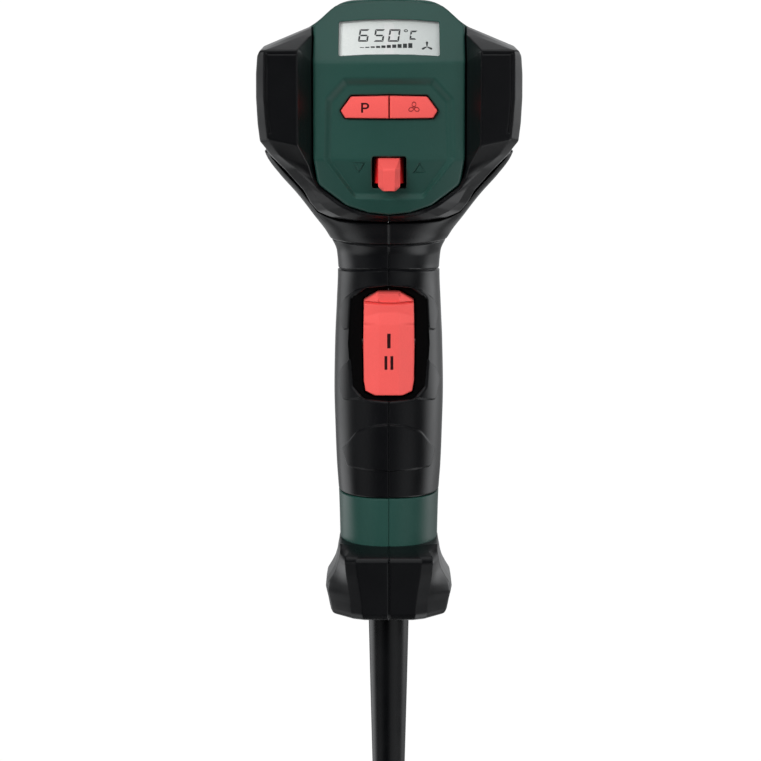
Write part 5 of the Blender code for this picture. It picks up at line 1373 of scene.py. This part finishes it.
guard_profile = filleted(
    [(21.4, 165.8), (22.45, 167.2), (22.45, 213.2), (21.3, 216.0), (18.5, 216.0), (18.5, 214.4), (20.6, 213.2), (20.6, 167.8), (19.6, 165.8)],
    [0.5, 0.8, 1.2, 0.9, 0.4, 0.4, 0.8, 0.4, 0.3], 6)
guard = turned(guard_profile, "heat_guard", steps=144)
for k in range(8):
    a = math.radians(45 * k + 22.5)
    w, y0, y1 = 2.2, 174.5, 205.5
    base = filleted([(-w, y0), (w, y0), (w, y1), (-w, y1)], 2.1, 6)
    pts = []
    for r in (15.0, 30.0):
        pts += [(x * math.cos(a) - r * math.sin(a) * -1 * 1.0, y, -x * math.sin(a) + r * math.cos(a)) for x, y in base]
    n = len(base)
    f = [list(range(n)), list(range(n, 2 * n))] + [[i, (i + 1) % n, n + (i + 1) % n, n + i] for i in range(n)]
    cut(guard, build("tool", pts, f, None))
dress(guard, BLACK, "heat_guard", ("nozzle_guard",), 30)

turned([(14.9, 111.4), (15.8, 111.4), (15.8, 236.0), (14.9, 236.0)], "mica_tube", MICA, steps=96, replaces=("mica_sleeve",), sharp=40)
fins = []
for k in range(6):
    for da, r in ((-30, 5.6), (-12, 5.9), (-5.4, 10.9), (-4.4, 11.3), (4.4, 11.3), (5.4, 10.9), (12, 5.9)):
        a = math.radians(60 * k + da)
        fins.append((r * math.cos(a), r * math.sin(a)))
core = prism(fins, "Y", 112.0, 234.0, "heater_former", None)
for x, z in [(0, 0)] + [(3.4 * math.cos(math.radians(60 * k)), 3.4 * math.sin(math.radians(60 * k))) for k in range(6)]:
    cut(core, turned([(0.0, 200.0), (0.8, 200.0), (0.8, 240.0), (0.0, 240.0)], "tool", None, "Y", (x, z), 16))
dress(core, CERAMIC, "housing", ("heater_core",), 30)


def coil(radius, wire, y0, y1, turns, name):
    total = turns * 40 + 1
    t = np.linspace(0, 2 * np.pi * turns, total)[:, None]
    q = np.linspace(0, 2 * np.pi, 10, endpoint=False)[None, :]
    # a wavy wire, as a coiled ribbon looks when it has been wound on
    r = radius + wire * np.cos(q)
    y = y0 + (y1 - y0) * t / t[-1] + wire * np.sin(q)
    rings = np.stack([r * np.cos(t), y, r * np.sin(t)], -1)
    return loft(rings, name, WIRE, replaces=("heating_coil",), sharp=50)


coil(12.4, 0.55, 116.0, 231.0, 26, "heater_winding")

# ================================================================ cable and its boot
boot_profile = [(4.25, -175.0), (9.2, -175.0), (9.2, -177.6), (7.32, -178.0)]
boot_profile += [(r, z) for z, r in zip(np.linspace(-181.6, -258.0, 90), np.interp(np.linspace(-181.6, -258.0, 90), [-262, -240, -213, -187, -178], [5.3, 5.9, 6.6, 7.2, 7.3]))]
boot_profile += [(5.2, -260.5), (4.95, -262.0), (4.5, -262.6), (4.25, -262.6)]
turned(boot_profile, "cable_boot_sleeve", CABLE, "Z", (0, CABLE_Y), 96, replaces=("cable_boot",), sharp=34)
turned([(2.75, -143.0), (3.9, -143.0), (4.0, -143.1), (4.0, -291.6), (3.8, -292.0), (2.75, -292.0)], "cable_jacket", CABLE, "Z", (0, CABLE_Y), 64, replaces=("power_cable",), sharp=40)
for side, node, mat in ((-1, "core_live", BROWN), (1, "core_neutral", BLUE)):
    turned([(0.0, -136.6), (1.05, -136.6), (1.2, -136.8), (1.2, -298.7), (1.15, -298.8), (0.62, -298.8), (0.62, -298.95), (0.0, -298.95)], node + "_lead", mat, "Z", (side * 1.3, CABLE_Y), 32, replaces=(node,), sharp=40)

# ================================================================ screws, star driven
for k, (y, z) in enumerate(SCREWS):
    name = "housing_screw_%d" % (k + 1)
    s = turned([(0.0, -12.5), (2.2, -12.5), (2.6, -12.1), (2.6, -9.7), (2.4, -9.5), (1.2, -9.4), (1.2, 8.8), (0.0, 9.6)], name + "_steel", None, "X", (y, z), 40)
    star = []
    for q in range(36):
        a = 2 * math.pi * q / 36
        r = 1.15 + 0.28 * math.cos(6 * a)
        star.append((y + r * math.cos(a), z + r * math.sin(a)))
    cut(s, prism(star, "X", -14.0, -11.2))
    dress(s, STEEL, "housing", (name,), 30)

# ================================================================ studio
def studio():
    floor_z = cad_lo.z - 0.0015
    n = 24
    xs = np.linspace(-3.5, 3.5, n)
    ys = np.linspace(-2.5, 24.0, n)
    v = [(x, y, floor_z) for y in ys for x in xs]
    f = [(j * n + i, j * n + i + 1, (j + 1) * n + i + 1, (j + 1) * n + i) for j in range(n - 1) for i in range(n - 1)]
    mesh = bpy.data.meshes.new("floor")
    mesh.from_pydata(v, [], f)
    floor = bpy.data.objects.new("floor", mesh)
    bpy.context.scene.collection.objects.link(floor)
    m, nt, out = node_material("pale_floor")
    lit = nt.nodes.new("ShaderNodeBsdfDiffuse")
    lit.inputs[0].default_value = (0.16, 0.16, 0.16, 1)
    glow = nt.nodes.new("ShaderNodeEmission")
    glow.inputs[0].default_value = (1, 1, 1, 1)
    glow.inputs[1].default_value = 1.02
    lp = nt.nodes.new("ShaderNodeLightPath")
    mix = nt.nodes.new("ShaderNodeMixShader")
    nt.links.new(lp.outputs["Is Camera Ray"], mix.inputs[0])
    nt.links.new(lit.outputs[0], mix.inputs[1])
    nt.links.new(glow.outputs[0], mix.inputs[2])
    nt.links.new(mix.outputs[0], out.inputs[0])
    mesh.materials.append(m)
    # gloss on the piece shows the studio round it, not the floor
    floor.visible_glossy = False

    world = bpy.data.worlds.new("studio")
    bpy.context.scene.world = world
    world.use_nodes = True
    nt = world.node_tree
    nt.nodes.clear()
    out = nt.nodes.new("ShaderNodeOutputWorld")
    seen = nt.nodes.new("ShaderNodeBackground")
    seen.inputs[0].default_value, seen.inputs[1].default_value = (1, 1, 1, 1), 1.02
    # what the piece itself sees: dark behind the camera, soft bright areas to the sides, above, beyond and low down
    amb = nt.nodes.new("ShaderNodeBackground")
    amb.inputs[0].default_value = (0.97, 0.985, 1.0, 1)
    tc = nt.nodes.new("ShaderNodeTexCoord")

    def glow_area(azimuth, height, reach, strength):
        """A soft round area of light; azimuth 0 is behind the camera, positive to its right."""
        a, e = math.radians(azimuth), math.radians(height)
        dot = nt.nodes.new("ShaderNodeVectorMath")
        dot.operation = "DOT_PRODUCT"
        nt.links.new(tc.outputs["Generated"], dot.inputs[0])
        dot.inputs[1].default_value = (math.sin(a) * math.cos(e), -math.cos(a) * math.cos(e), math.sin(e))
        edge = nt.nodes.new("ShaderNodeMapRange")
        edge.interpolation_type = "SMOOTHSTEP"
        edge.inputs["From Min"].default_value, edge.inputs["From Max"].default_value = math.cos(math.radians(reach)), 0.985
        edge.inputs["To Min"].default_value, edge.inputs["To Max"].default_value = 0.0, strength
        nt.links.new(dot.outputs["Value"], edge.inputs["Value"])
        return edge.outputs["Result"]

    level = 0.004
    for area in (
        (30, -14, 32, 0.41), (120, -14, 32, 0.41), (-120, -14, 32, 1.39), (70, -50, 32, 1.86), (-70, -50, 32, 1.14), (180, -45, 38, 0.87),
        (-50, 7, 32, 0.27), (105, 7, 32, 1.78), (-105, 7, 32, 0.29), (140, 7, 32, 0.31), (180, 6, 35, 0.78), (0, 53, 38, 0.54), (180, 81, 45, 0.72),
    ):
        level = mathn(nt, "ADD", glow_area(*area), level)
    nt.links.new(level, amb.inputs[1])
    lp = nt.nodes.new("ShaderNodeLightPath")
    mix = nt.nodes.new("ShaderNodeMixShader")
    nt.links.new(lp.outputs["Is Camera Ray"], mix.inputs[0])
    nt.links.new(amb.outputs[0], mix.inputs[1])
    nt.links.new(seen.outputs[0], mix.inputs[2])
    nt.links.new(mix.outputs[0], out.inputs[0])

    def softbox(name, place, look, w, h, power, tint=(1, 1, 1), glossy=True):
        data = bpy.data.lights.new(name, "AREA")
        data.shape, data.size, data.size_y = "RECTANGLE", w, h
        data.energy, data.color = power, tint
        light = bpy.data.objects.new(name, data)
        bpy.context.scene.collection.objects.link(light)
        light.location = place
        light.rotation_euler = (Vector(look) - Vector(place)).to_track_quat("-Z", "Y").to_euler()
        light.visible_glossy = glossy
        return light

    mid = (0, 0.04, 0.12)
    softbox("front_left", (-0.75, -1.20, 0.70), mid, 0.8, 0.8, 19.2, glossy=False)
    softbox("front_right", (0.85, -1.15, 0.60), mid, 0.8, 0.8, 7.2, glossy=False)

    cam = bpy.data.cameras.new("camera")
    cam.sensor_width, cam.lens = 36.0, 118.98
    cam.clip_start, cam.clip_end = 0.01, 60.0
    eye = bpy.data.objects.new("camera", cam)
    bpy.context.scene.collection.objects.link(eye)
    eye.location = (-0.00294, -0.850, 0.219)
    eye.rotation_euler = (math.radians(90 - 9.7), 0, 0)
    bpy.context.scene.camera = eye
    bpy.context.scene.view_settings.view_transform = "Standard"
    bpy.context.scene.view_settings.look = "None"


studio()
